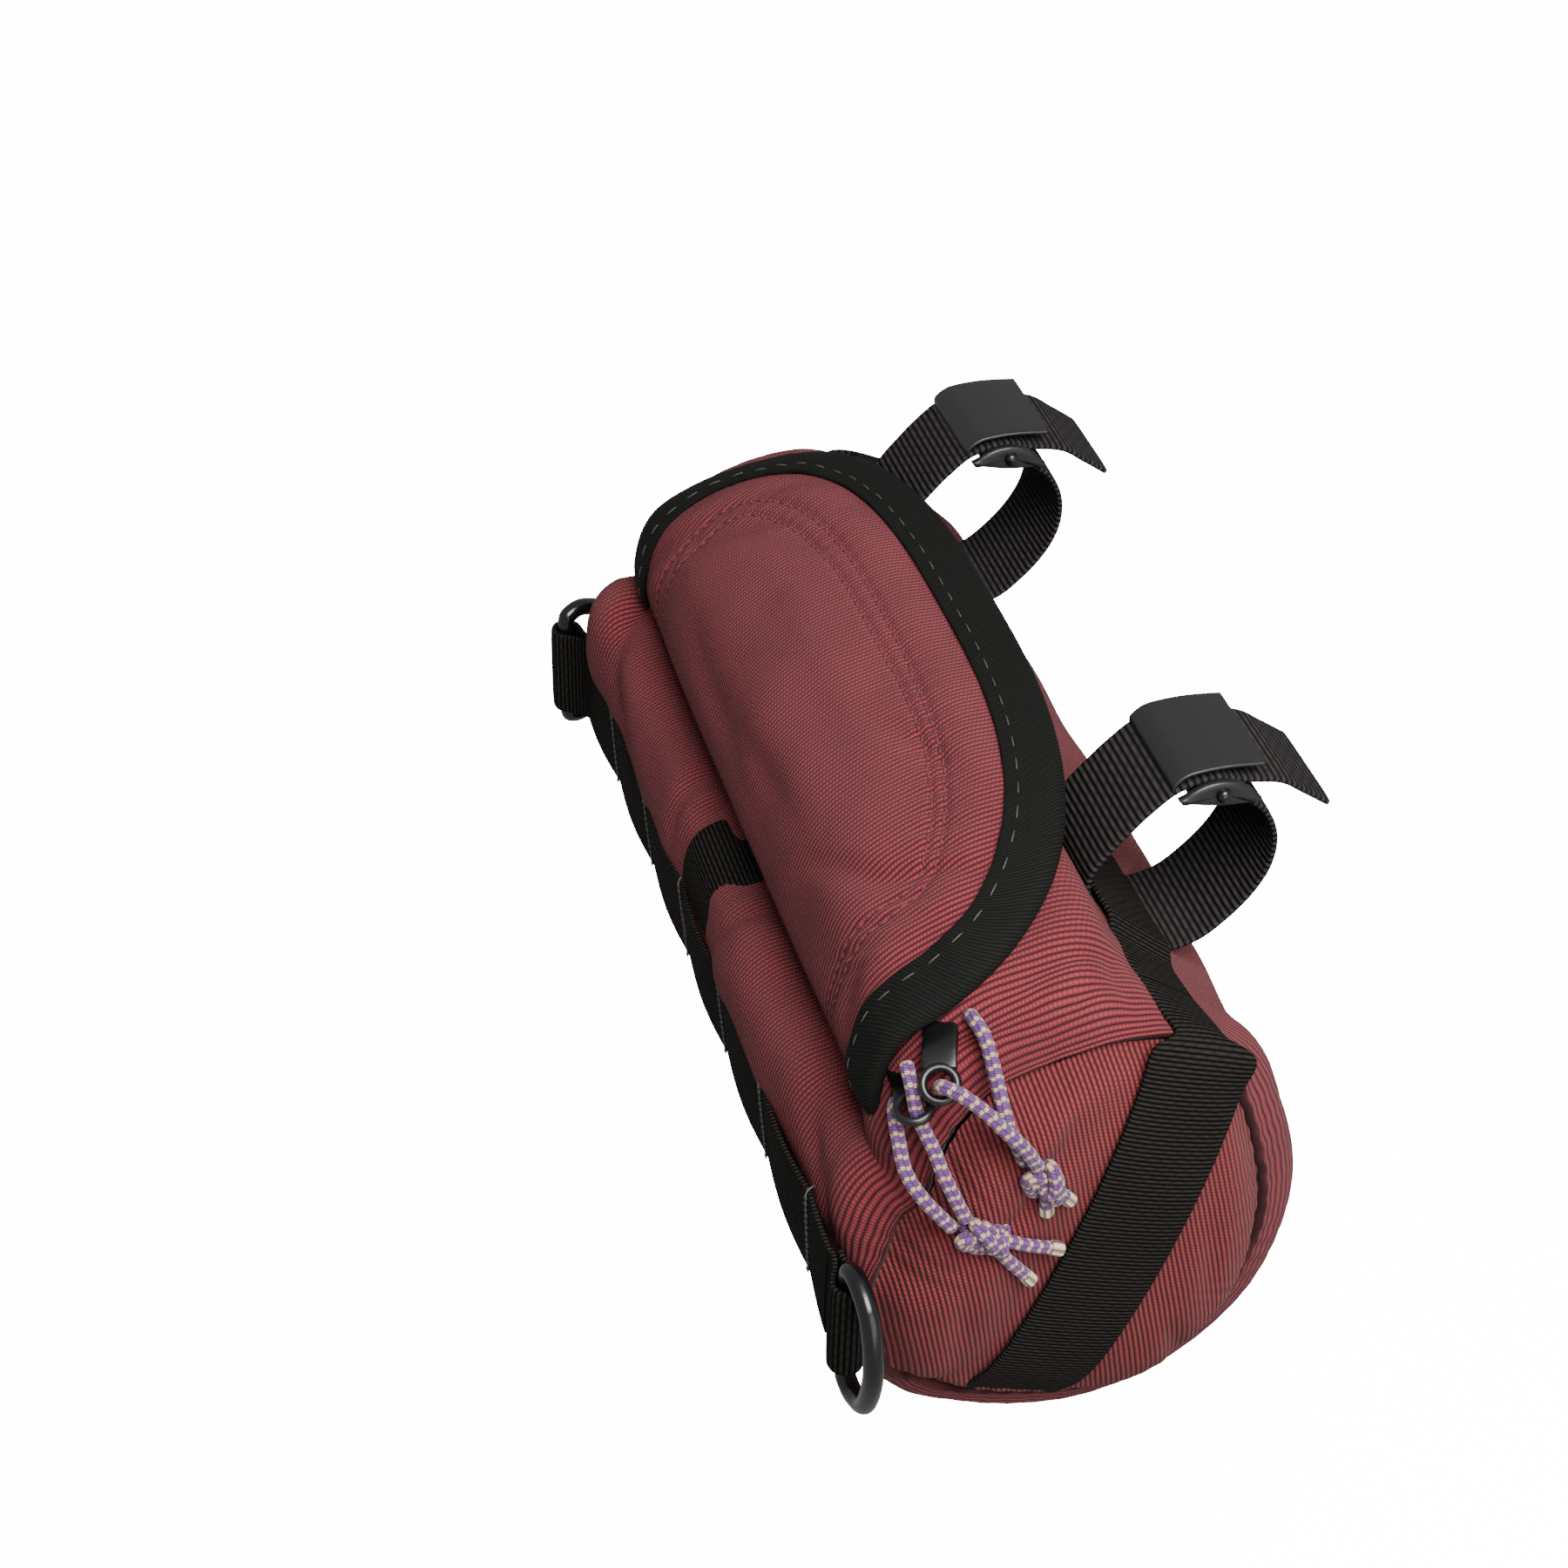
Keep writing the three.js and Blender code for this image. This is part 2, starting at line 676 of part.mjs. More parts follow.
// A pull is a bent tongue from its slider out over the barrel's shoulder, with an eye at its wider tip.
function sliderPull({ line, acrossSlider, acrossTip }) {
  const curve = curveThrough(line);
  const length = curve.getLength();
  const tip = pullEye + 2 * pullEyeWall;
  const rows = 11;
  const frame = (t) => {
    const tangent = curve.getTangentAt(t);
    const across = new THREE.Vector3(...acrossSlider).lerp(new THREE.Vector3(...acrossTip), t);
    const up = tangent.clone().cross(across).normalize();
    return { middle: curve.getPointAt(t), across: up.clone().cross(tangent).normalize(), up };
  };
  const half = (t) => {
    const fromTip = (1 - t) * length;
    const bow = Math.sqrt(Math.max(1 - ((fromTip - tip / 2) / (tip / 2)) ** 2, 0)) * (tip / 2);
    if (fromTip < tip / 2) return Math.max(bow, 1);
    return Math.max(bow, pullWidth / 2);
  };
  const layer = (lift) => Array.from({ length: rows + 1 }, (_, i) => {
    const t = share(i, rows) ** 0.7;
    const { middle, across, up } = frame(t);
    return [-1, 0, 1].map((side) =>
      middle.clone().addScaledVector(across, side * half(t)).addScaledVector(up, lift));
  });
  const tongue = toManifold(wallBetween(layer(pullThickness / 2), layer(-pullThickness / 2)));
  const { middle, up } = frame(1 - tip / 2 / length);
  const hole = new THREE.CylinderGeometry(pullEye / 2, pullEye / 2, 4 * pullThickness, 12);
  hole.applyQuaternion(new THREE.Quaternion().setFromUnitVectors(new THREE.Vector3(0, 1, 0), up));
  hole.translate(middle.x, middle.y, middle.z);
  return fromManifold(tongue.subtract(toManifold(hole)));
}

for (const row of pullRows) {
  addPiece(`slider_pull_${row.number}`, sliderPull(row), zipPlastic);
}

// Elastic cords with a knot on each pair and two short tails out of the knot
function roundSection(radius, sides) {
  const outline = new THREE.Shape();
  for (let i = 0; i < sides; i += 1) {
    const turn = 2 * Math.PI * share(i, sides);
    const [x, y] = [radius * Math.cos(turn), radius * Math.sin(turn)];
    if (i === 0) outline.moveTo(x, y);
    else outline.lineTo(x, y);
  }
  outline.closePath();
  return outline;
}

function tubeAlong(curve, radius, sides, steps) {
  return new THREE.ExtrudeGeometry(roundSection(radius, sides), { steps, extrudePath: curve });
}

for (const [name, route] of Object.entries(cordRoutes)) {
  const curve = curveThrough(route);
  addPiece(`pull_cord_${name}`, tubeAlong(curve, cordRadius, cordSides, cordSteps), elastic);
}

function pullKnot({ centre, out, tail }) {
  const direction = new THREE.Vector3(...out).normalize();
  const knot = new THREE.SphereGeometry(knotDiameter / 2, 10, 6);
  knot.scale(1, knotLength / knotDiameter, 1);
  knot.applyQuaternion(new THREE.Quaternion().setFromUnitVectors(new THREE.Vector3(0, 1, 0), direction));
  knot.translate(...centre);
  let solid = toManifold(knot);
  const sideways = new THREE.Vector3(1, 0, 0).cross(direction).normalize();
  for (const lean of [-tailLean, tailLean]) {
    const tailWay = direction.clone().addScaledVector(sideways, lean).normalize();
    const from = new THREE.Vector3(...centre).addScaledVector(tailWay, knotLength / 2 - cordDiameter);
    const to = new THREE.Vector3(...centre).addScaledVector(tailWay, knotLength / 2 + tail);
    solid = solid.add(toManifold(tubeAlong(new THREE.LineCurve3(from, to), cordRadius, cordSides, 1)));
  }
  return fromManifold(solid);
}

for (const [name, place] of Object.entries(knotPlaces)) {
  addPiece(`pull_knot_${name}`, pullKnot(place), elastic);
}

// Webbing on the bag
function daisyChain() {
  const steps = 52;
  const layer = (depth) => Array.from({ length: steps + 1 }, (_, i) => {
    const x = daisyHalfLength * (2 * share(i, steps) - 1);
    const slack = daisySlack * Math.abs(Math.sin((Math.PI * (x - daisyShift)) / daisyPitch));
    const lean = daisyLean + (daisyEndLean - daisyLean) * (x / daisyHalfLength) ** 4;
    const bottom = daisyFront - (lean - daisyLean) / 2 - slack;
    return [
      new THREE.Vector3(x, bottom + lean - depth, daisyTop),
      new THREE.Vector3(x, bottom - depth, daisyTop - webbingWidth),
    ];
  });
  return wallBetween(layer(webbingThickness / 2), layer(-webbingThickness / 2));
}
addPiece('daisy_chain', daisyChain(), webbing);

function frontTab() {
  const steps = 8;
  const tabTop = -webbingThickness;
  const tabBottom = aroundDownTo(daisyTop + clearance);
  const layer = (lift) => Array.from({ length: steps + 1 }, (_, i) => {
    const around = tabTop + (tabBottom - tabTop) * share(i, steps);
    return [-1, 0, 1].map((side) => onBody((side * webbingWidth) / 2, around, lift));
  });
  return wallBetween(layer(webbingLift + webbingThickness), layer(webbingLift));
}
addPiece('front_tab', frontTab(), webbing);

const smooth = (value) => {
  const t = Math.min(Math.max(value, 0), 1);
  return t * t * (3 - 2 * t);
};

const backAround = aroundOf('backLip') + backDrop;

// Height of the back webbing off the barrel: it hops over each handlebar strap.
function backLift(x) {
  const fromStrap = Math.abs(Math.abs(x) - strapSpacing / 2) - strapWidth / 2;
  const hop = strapThickness + 2 * strapGap;
  return webbingLift + hop * (1 - smooth((fromStrap - hopShoulder) / hopRun));
}

function backWebbing() {
  const steps = 36;
  const layer = (extra) => Array.from({ length: steps + 1 }, (_, i) => {
    const x = backHalfLength * (2 * share(i, steps) - 1);
    return [-0.5, 0, 0.5].map((side) => onBody(x, backAround + side * webbingWidth, backLift(x) + extra));
  });
  return wallBetween(layer(webbingThickness), layer(0));
}
addPiece('back_webbing', backWebbing(), webbing);

// Webbing that comes over the end seam from the back and runs down across the end panel.
// The far one's rows run from its foot, so that its winding mirrors the near one's.
function endWebbing(side) {
  const overSeam = 2;
  const downPanel = 10;
  const places = [-0.5, -0.06, 0.5];
  const top = bodySection(side * halfBody, backAround);
  const foot = bodySection(side * halfBody, aroundOf('bottomFront') + endFootShift);
  const from = new THREE.Vector2(top.y, top.z);
  const to = new THREE.Vector2(foot.y, foot.z).lerp(from, endFootShare);
  const run = to.clone().sub(from).normalize();
  const across = new THREE.Vector2(-run.y, run.x);
  const seam = Array.from({ length: 121 }, (_, i) => bodySection(side * halfBody, girth * share(i, 120)));
  const centre = new THREE.Vector2(panelFront + panelDepth / 2, panelBottom + panelHeight / 2);
  const ringAt = (point) => {
    const away = point.clone().sub(centre);
    let reach = Infinity;
    for (let i = 0; i < 120; i += 1) {
      const a = new THREE.Vector2(seam[i].y, seam[i].z).sub(centre);
      const b = new THREE.Vector2(seam[i + 1].y, seam[i + 1].z).sub(centre).sub(a);
      const bottom = away.cross(b);
      const t = a.cross(b) / bottom;
      const u = a.cross(away) / bottom;
      if (t > 0 && u >= 0 && u <= 1) reach = Math.min(reach, t);
    }
    return Math.min(1 / reach, 1);
  };
  const layer = (extra) => {
    const rows = [];
    for (let i = 0; i <= overSeam; i += 1) {
      const x = side * (backHalfLength + clearance + (halfBody - backHalfLength) * share(i, overSeam));
      const lift = webbingLift + share(i, overSeam) * seamLift + extra;
      rows.push(places.map((place) => onBody(x, backAround + place * webbingWidth, lift)));
    }
    for (let i = 0; i <= downPanel; i += 1) {
      const along = from.clone().lerp(to, share(i, downPanel));
      rows.push(places.map((place) => {
        const point = along.clone().addScaledVector(across, place * webbingWidth);
        const rise = panelBulge * (1 - ringAt(point) ** panelCrown);
        return new THREE.Vector3(
          side * (halfBody + clearance + clothWall + endWebbingLift + rise + extra), point.x, point.y);
      }));
    }
    return side > 0 ? rows : rows.reverse();
  };
  return wallBetween(layer(webbingThickness), layer(0));
}
addPiece('end_webbing_near', endWebbing(1), webbing);
addPiece('end_webbing_far', endWebbing(-1), webbing);

// Webbing loop and D-ring at each end of the daisy chain
function ringLoop() {
  const eye = ringBar / 2 + clearance;
  const outer = eye + webbingThickness;
  const barAt = loopReach - outer;
  const outline = new THREE.Shape();
  outline.moveTo(0, webbingThickness);
  outline.lineTo(barAt / 2, webbingThickness);
  outline.absarc(barAt, 0, outer, Math.PI / 2, -Math.PI / 2, true);
  outline.lineTo(barAt / 2, -webbingThickness);
  outline.lineTo(0, -webbingThickness);
  outline.closePath();
  const run = { depth: webbingWidth, bevelEnabled: false, curveSegments: 8 };
  const body = new THREE.ExtrudeGeometry(outline, run);
  body.translate(0, 0, -webbingWidth / 2);
  const hole = new THREE.CylinderGeometry(eye, eye, 2 * webbingWidth, 16);
  hole.rotateX(Math.PI / 2);
  hole.translate(barAt, 0, 0);
  return fromManifold(toManifold(closed(body)).subtract(toManifold(hole)));
}

function dRing() {
  const radius = ringBar / 2;
  const reach = ringDepth - ringBar;
  const tall = (ringLength - ringBar) / 2;
  const path = new THREE.CatmullRomCurve3(ringOutline.map(([name, out, up]) =>
    new THREE.Vector3(out * reach, 0, up * tall)), true, 'catmullrom', 0.5);
  const rows = 27;
  const sides = 7;
  const rings = Array.from({ length: rows }, (_, i) => {
    const centre = path.getPoint(share(i, rows));
    const tangent = path.getTangent(share(i, rows));
    const outward = new THREE.Vector3(0, 1, 0).cross(tangent).normalize();
    return Array.from({ length: sides }, (_unused, j) => {
      const turn = 2 * Math.PI * share(j, sides);
      return centre.clone().addScaledVector(outward, radius * Math.cos(turn))
        .add(new THREE.Vector3(0, radius * Math.sin(turn), 0));
    });
  });
  const triangles = [];
  for (let i = 0; i < rows; i += 1) {
    for (let j = 0; j < sides; j += 1) {
      const [a, b] = [rings[i][j], rings[(i + 1) % rows][j]];
      const [c, d] = [rings[(i + 1) % rows][(j + 1) % sides], rings[i][(j + 1) % sides]];
      triangles.push(a, b, c, a, c, d);
    }
  }
  return solidFromTriangles(triangles);
}

for (const { end, side, loopSwing, ringSwing } of ringEnds) {
  const hanger = new THREE.Group();
  const turnRoom = webbingThickness * Math.sin(loopSwing * degree);
  const hangerX = side * (daisyHalfLength + clearance + turnRoom);
  hanger.position.set(hangerX, daisyFront + daisyLean / 2, daisyTop - webbingWidth / 2);
  const lean = new THREE.Group();
  lean.rotation.x = -Math.atan2(daisyEndLean, webbingWidth);
  const swing = new THREE.Group();
  swing.rotation.z = side > 0 ? -loopSwing * degree : Math.PI + loopSwing * degree;
  hanger.add(lean);
  lean.add(swing);
  bag.add(hanger);
  addPiece(`ring_loop_${end}`, ringLoop(), webbing, swing);
  const ring = addPiece(`d_ring_${end}`, dRing(), hardPlastic, swing);
  ring.position.x = loopReach - ringBar / 2 - clearance - webbingThickness;
  ring.rotation.z = side * ringSwing * degree;
}

// Handlebar straps
function barPlace(angle, lift) {
  const turn = angle * degree;
  const radius = barRadius + lift;
  return new THREE.Vector3(0, -radius * Math.cos(turn), radius * Math.sin(turn));
}

function barStrap(side) {
  const route = strapRoute.map(([angle, lift]) => barPlace(angle, lift));
  route.push(...strapTail.map(([back, up]) => new THREE.Vector3(0, back, up)));
  const curve = new THREE.CatmullRomCurve3(route, false, 'catmullrom', 0.5);
  const steps = 52;
  const x = (side * strapSpacing) / 2;
  const layer = (offset) => Array.from({ length: steps + 1 }, (_, i) => {
    const centre = curve.getPointAt(share(i, steps));
    const tangent = curve.getTangentAt(share(i, steps));
    const away = new THREE.Vector3(0, -tangent.z, tangent.y).multiplyScalar(offset);
    return [-0.5, 0.5].map((place) => centre.clone().add(away).setX(x + place * strapWidth));
  });
  return wallBetween(layer(strapThickness / 2), layer(-strapThickness / 2));
}

// The buckle's frame is a curved bar plate between two lens-shaped ears with a rivet through each.
function buckleFrame(side) {
  const x = (side * strapSpacing) / 2;
  const half = buckleWidth / 2;
  const plate = (offset) => Array.from({ length: 5 }, (_, i) => {
    const angle = buckleAngle + buckleSpread * (2 * share(i, 4) - 1);
    return [-half, half].map((place) => barPlace(angle, barPlateLift + offset).setX(x + place));
  });
  let frame = toManifold(wallBetween(plate(barPlateThickness), plate(0)));
  for (const end of [-1, 1]) {
    const steps = 7;
    const ear = (out) => Array.from({ length: steps + 1 }, (_, i) => {
      const place = 2 * share(i, steps) - 1;
      const swell = Math.max(1 - place * place, earTip) * (earHeight / 2);
      const angle = buckleAngle + earSpread * place;
      const earX = x + end * (half - buckleWall * out);
      return [-swell, swell].map((up) => barPlace(angle, earLift + up).setX(earX));
    });
    const layer = [ear(0), ear(1)];
    frame = frame.add(toManifold(wallBetween(layer[0], layer[1])));
    const rivetRadius = rivetDiameter / 2;
    const rivet = new THREE.CylinderGeometry(rivetRadius, rivetRadius, buckleWall + rivetHeight, 10);
    rivet.rotateZ(Math.PI / 2);
    const seat = barPlace(buckleAngle, earLift);
    rivet.translate(x + end * (half - buckleWall / 2 + rivetHeight / 2), seat.y, seat.z);
    frame = frame.add(toManifold(rivet));
  }
  return fromManifold(frame);
}

function buckleCover(side) {
  const x = (side * strapSpacing) / 2;
  const half = coverWidth / 2;
  const layer = (offset) => coverRows.map(([back, up]) =>
    [-half, half].map((place) => new THREE.Vector3(x + place, back, up + offset)));
  return wallBetween(layer(coverThickness), layer(0));
}

for (const [end, side] of [['near', 1], ['far', -1]]) {
  addPiece(`bar_strap_${end}`, barStrap(side), webbing);
  addPiece(`buckle_frame_${end}`, buckleFrame(side), blackMetal);
  addPiece(`buckle_cover_${end}`, buckleCover(side), blackMetal);
}

export default bag;
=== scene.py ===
import math

import bmesh
import bpy
import numpy as np
from mathutils import Matrix


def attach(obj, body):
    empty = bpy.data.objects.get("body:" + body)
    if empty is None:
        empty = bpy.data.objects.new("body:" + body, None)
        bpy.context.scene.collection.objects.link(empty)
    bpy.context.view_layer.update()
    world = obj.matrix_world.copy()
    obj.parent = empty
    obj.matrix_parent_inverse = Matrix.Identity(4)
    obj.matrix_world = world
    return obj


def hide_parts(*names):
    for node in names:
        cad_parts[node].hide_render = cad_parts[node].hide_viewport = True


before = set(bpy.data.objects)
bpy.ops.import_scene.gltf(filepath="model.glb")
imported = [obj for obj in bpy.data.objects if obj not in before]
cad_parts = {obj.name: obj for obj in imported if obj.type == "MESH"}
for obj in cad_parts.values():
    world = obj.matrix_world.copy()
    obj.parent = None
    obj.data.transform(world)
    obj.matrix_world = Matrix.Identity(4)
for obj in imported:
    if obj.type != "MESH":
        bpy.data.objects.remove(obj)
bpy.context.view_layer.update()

# Camera
# The photo is taken from the near end, above and a little to the front, with a long lens.
camera = bpy.data.objects.new("camera", bpy.data.cameras.new("camera"))
camera.data.lens = 69.717
camera.data.sensor_width = 36
camera.data.clip_start = 0.01
camera.data.dof.use_dof = False
camera.matrix_world = Matrix((
    (0.2760, -0.6050, 0.7468, 0.51807),
    (0.9462, 0.3076, -0.1005, -0.14026),
    (-0.1689, 0.7344, 0.6574, 0.44344),
    (0, 0, 0, 1),
))
bpy.context.scene.collection.objects.link(camera)
bpy.context.scene.camera = camera

# Light and floor
# A pale studio: an even bright surround, a broad soft box above the near end, a weaker one beside it, and a
# plain pale floor that lights nothing.
world = bpy.data.worlds.new("studio")
bpy.context.scene.world = world
world.use_nodes = True
world.node_tree.nodes["Background"].inputs["Color"].default_value = (1, 1, 1, 1)
world.node_tree.nodes["Background"].inputs["Strength"].default_value = 0.5


def soft_box(name, place, aim, width, power):
    """A square area light at place, turned to face aim."""
    lamp = bpy.data.lights.new(name, "AREA")
    lamp.size = width
    lamp.energy = power
    lamp_object = bpy.data.objects.new(name, lamp)
    back = np.array(place, float) - np.array(aim, float)
    back /= np.linalg.norm(back)
    across = np.cross((0.0, 1.0, 0.0), back)
    across /= np.linalg.norm(across)
    columns = np.stack([across, np.cross(back, across), back, np.array(place, float)], 1)
    lamp_object.matrix_world = Matrix([*columns.tolist(), [0, 0, 0, 1]])
    bpy.context.scene.collection.objects.link(lamp_object)


soft_box("top_light", (0.6, 0.16, 0.78), (0, -0.04, -0.05), 0.6, 29)
soft_box("side_light", (0.95, 0.15, 0.02), (0, -0.05, -0.07), 0.7, 3.5)

floor_mesh = bpy.data.meshes.new("floor")
FLOOR = -0.34
floor_mesh.from_pydata([(-9, -9, FLOOR), (9, -9, FLOOR), (9, 9, FLOOR), (-9, 9, FLOOR)], [], [(0, 1, 2, 3)])
floor = bpy.data.objects.new("floor", floor_mesh)
bpy.context.scene.collection.objects.link(floor)
floor_paint = bpy.data.materials.new("floor_paint")
floor_paint.use_nodes = True
floor_shader = floor_paint.node_tree.nodes["Principled BSDF"].inputs
floor_shader["Base Color"].default_value = (0.93, 0.93, 0.93, 1)
floor_shader["Roughness"].default_value = 0.9
floor_shader["Emission Color"].default_value = (1, 1, 1, 1)
floor_shader["Emission Strength"].default_value = 14
floor_mesh.materials.append(floor_paint)
floor.visible_diffuse = False
floor.visible_glossy = False

# Cords
# Loops of 3 mm elastic cord with a braided purple sleeve and cream tracer threads. Each zip pull has one
# loop, whose two strands hang off the near end to a knot. Places are in millimetres.
MM = 0.001


def spline(points, count):
    """Uniform Catmull-Rom curve through the points, its ends carried on straight, as count + 1 places."""
    points = np.asarray(points, float)
    longer = np.concatenate([[2 * points[0] - points[1]], points, [2 * points[-1] - points[-2]]])
    key = np.linspace(0, len(points) - 1, count + 1)
    first = np.minimum(key.astype(int), len(points) - 2)
    t = (key - first).reshape(-1, *[1] * (points.ndim - 1))
    p0, p1, p2, p3 = (longer[first + n] for n in range(4))
    squared, cubed = 2 * p0 - 5 * p1 + 4 * p2 - p3, 3 * p1 - p0 - 3 * p2 + p3
    return 0.5 * (2 * p1 + (p2 - p0) * t + squared * t**2 + cubed * t**3)


def unit(vectors):
    """The vectors at length one."""
    return vectors / np.maximum(np.linalg.norm(vectors, axis=-1, keepdims=True), 1e-12)


def run_length(line):
    """Length along a line of points up to each of them."""
    return np.concatenate([[0], np.cumsum(np.linalg.norm(np.diff(line, axis=0), axis=-1))])


def at_run(place, run, line):
    """Places at lengths along a line, whose run gives the length up to each of its points."""
    return np.stack([np.interp(place, run, line[:, n]) for n in range(line.shape[1])], -1)


def pairs(u, v):
    """Grid of every value of u with every value of v."""
    return np.stack(np.meshgrid(u, v, indexing="ij"), -1)


def grid_object(
    name, points, coords, material, slot, nodes=(), wrap=(False, False), keep=None, wall=0, flip=False
):
    """An object from a grid of points with UVs, both in mm. wrap joins the last row or column to the first,
    keep leaves quads out, equal points are merged, and wall gives a sheet that thickness inwards."""
    rows, columns = points.shape[:2]
    last_row, last_column = rows - (not wrap[0]), columns - (not wrap[1])
    i, j = np.meshgrid(np.arange(last_row), np.arange(last_column), indexing="ij")
    if keep is not None:
        i, j = i[keep], j[keep]
    ring = [(i, j), (i + 1, j), (i + 1, j + 1), (i, j + 1)]
    if flip:
        ring.reverse()
    quads = np.stack([(a % rows) * columns + b % columns for a, b in ring], -1).reshape(-1, 4)
    corners = np.stack([coords[a, b] for a, b in ring], -2).reshape(-1, 2)
    mesh = bpy.data.meshes.new(name)
    mesh.from_pydata((points.reshape(-1, 3) * MM).tolist(), [], quads.tolist())
    mesh.uv_layers.new(name="cloth").data.foreach_set("uv", corners.astype(np.float32).ravel())
    work = bmesh.new()
    work.from_mesh(mesh)
    bmesh.ops.remove_doubles(work, verts=work.verts, dist=1e-7)
    bmesh.ops.delete(work, geom=[v for v in work.verts if not v.link_faces], context="VERTS")
    work.to_mesh(mesh)
    work.free()
    mesh.polygons.foreach_set("use_smooth", np.ones(len(mesh.polygons), bool))
    mesh.materials.append(material)
    piece = bpy.data.objects.new(name, mesh)
    bpy.context.scene.collection.objects.link(piece)
    if wall:
        thick = piece.modifiers.new("wall", "SOLIDIFY")
        thick.thickness = wall * MM
        thick.offset = -1
    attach(piece, "root")
    if nodes:
        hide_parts(*nodes)
    return piece


def tube(line, radius, sides):
    """Points and UVs of rings round a line, turned as little as can be, with rounded ends."""
    line = np.asarray(line, float)
    tangent = unit(np.gradient(line, axis=0))
    side = np.empty_like(line)
    side[0] = unit(np.cross(tangent[0], (0.3, 0.8, 0.5)))
    for n in range(1, len(line)):
        side[n] = unit(side[n - 1] - tangent[n] * (side[n - 1] @ tangent[n]))
    up = np.cross(tangent, side)
    cap = np.linspace(0, math.pi / 2, 5)[:-1]
    bulge = 0.6 * radius * np.cos(cap)[:, None]
    centre = np.concatenate([line[:1] - tangent[:1] * bulge, line, line[-1:] + tangent[-1:] * bulge[::-1]])
    reach = radius * np.concatenate([np.sin(cap), np.ones(len(line)), np.sin(cap[::-1])])
    place = np.repeat(np.arange(len(line)), [5, *[1] * (len(line) - 2), 5])
    turn = np.linspace(0, 2 * math.pi, sides, endpoint=False)[None, :, None]
    ring = side[place][:, None] * np.cos(turn) + up[place][:, None] * np.sin(turn)
    points = centre[:, None] + ring * reach[:, None, None]
    return points, pairs(run_length(centre), np.arange(sides + 1) / sides)


def tube_object(name, line, radius, sides, material, slot, nodes=()):
    """An object that is a tube round a line."""
    return grid_object(name, *tube(line, radius, sides), material, slot, nodes, wrap=(False, True))


def calc(tree, operation, *values):
    """A Math node of that operation on sockets or numbers."""
    made = tree.nodes.new("ShaderNodeMath")
    made.operation = operation
    for n, value in enumerate(values):
        if isinstance(value, (int, float)):
            made.inputs[n].default_value = value
        else:
            tree.links.new(value, made.inputs[n])
    return made.outputs[0]


def noise(tree, scale, detail):
    """Noise from 0 to 1 on object coordinates."""
    made = tree.nodes.new("ShaderNodeTexNoise")
    made.inputs["Scale"].default_value = scale
    made.inputs["Detail"].default_value = detail
    source = tree.nodes.new("ShaderNodeTexCoord")
    tree.links.new(source.outputs["Object"], made.inputs["Vector"])
    return made.outputs["Fac"]


def blend(tree, share, low, high):
    """Colour between low and high, each a socket or three numbers."""
    made = tree.nodes.new("ShaderNodeMix")
    made.data_type = "RGBA"
    tree.links.new(share, made.inputs["Factor"])
    for socket, value in ((made.inputs[6], low), (made.inputs[7], high)):
        if isinstance(value, tuple):
            socket.default_value = (*value, 1)
        else:
            tree.links.new(value, socket)
    return made.outputs[2]


def start_material(name):
    """A new material: its tree, its shader, and the two UV sockets in mm."""
    material = bpy.data.materials.new(name)
    material.use_nodes = True
    tree = material.node_tree
    place = tree.nodes.new("ShaderNodeUVMap")
    place.uv_map = "cloth"
    split = tree.nodes.new("ShaderNodeSeparateXYZ")
    tree.links.new(place.outputs["UV"], split.inputs[0])
    return material, tree, tree.nodes["Principled BSDF"], split.outputs[0], split.outputs[1]


def set_bump(tree, shader, height, depth):
    """Bump of that depth in mm from a height of 0 to 1."""
    bump = tree.nodes.new("ShaderNodeBump")
    bump.inputs["Distance"].default_value = depth * MM
    bump.inputs["Strength"].default_value = 1
    tree.links.new(height, bump.inputs["Height"])
    tree.links.new(bump.outputs["Normal"], shader.inputs["Normal"])


braid, tree, shader, along, turns = start_material("cord_braid")
strand = calc(tree, "MULTIPLY", turns, 8)
step = calc(tree, "MULTIPLY", calc(tree, "MODULO", calc(tree, "FLOOR", strand), 2), 0.4)
band_place = calc(tree, "FRACT", calc(tree, "DIVIDE", calc(tree, "ADD", along, step), 2.35))
cream_share = calc(tree, "LESS_THAN", band_place, 0.34)
thread = calc(tree, "ABSOLUTE", calc(tree, "SINE", calc(tree, "MULTIPLY", strand, math.pi)))
slant = calc(tree, "ADD", calc(tree, "MULTIPLY", along, 5.6), calc(tree, "MULTIPLY", turns, 6 * math.pi))
twist = calc(tree, "ABSOLUTE", calc(tree, "SINE", slant))
twisted = calc(tree, "ADD", calc(tree, "MULTIPLY", twist, 0.5), 0.5)
weave = calc(tree, "MULTIPLY", calc(tree, "POWER", thread, 0.5), twisted)
# Painted shade: each colour runs from dark where the weave sinks between strands to lit on their tops.
purple = blend(tree, weave, (0.014, 0.003, 0.022), (0.105, 0.02, 0.16))
cream = blend(tree, weave, (0.10, 0.07, 0.035), (0.45, 0.33, 0.17))
tree.links.new(blend(tree, cream_share, purple, cream), shader.inputs["Base Color"])
shader.inputs["Roughness"].default_value = 0.6
shader.inputs["Sheen Weight"].default_value = 0.15
set_bump(tree, shader, weave, 0.22)

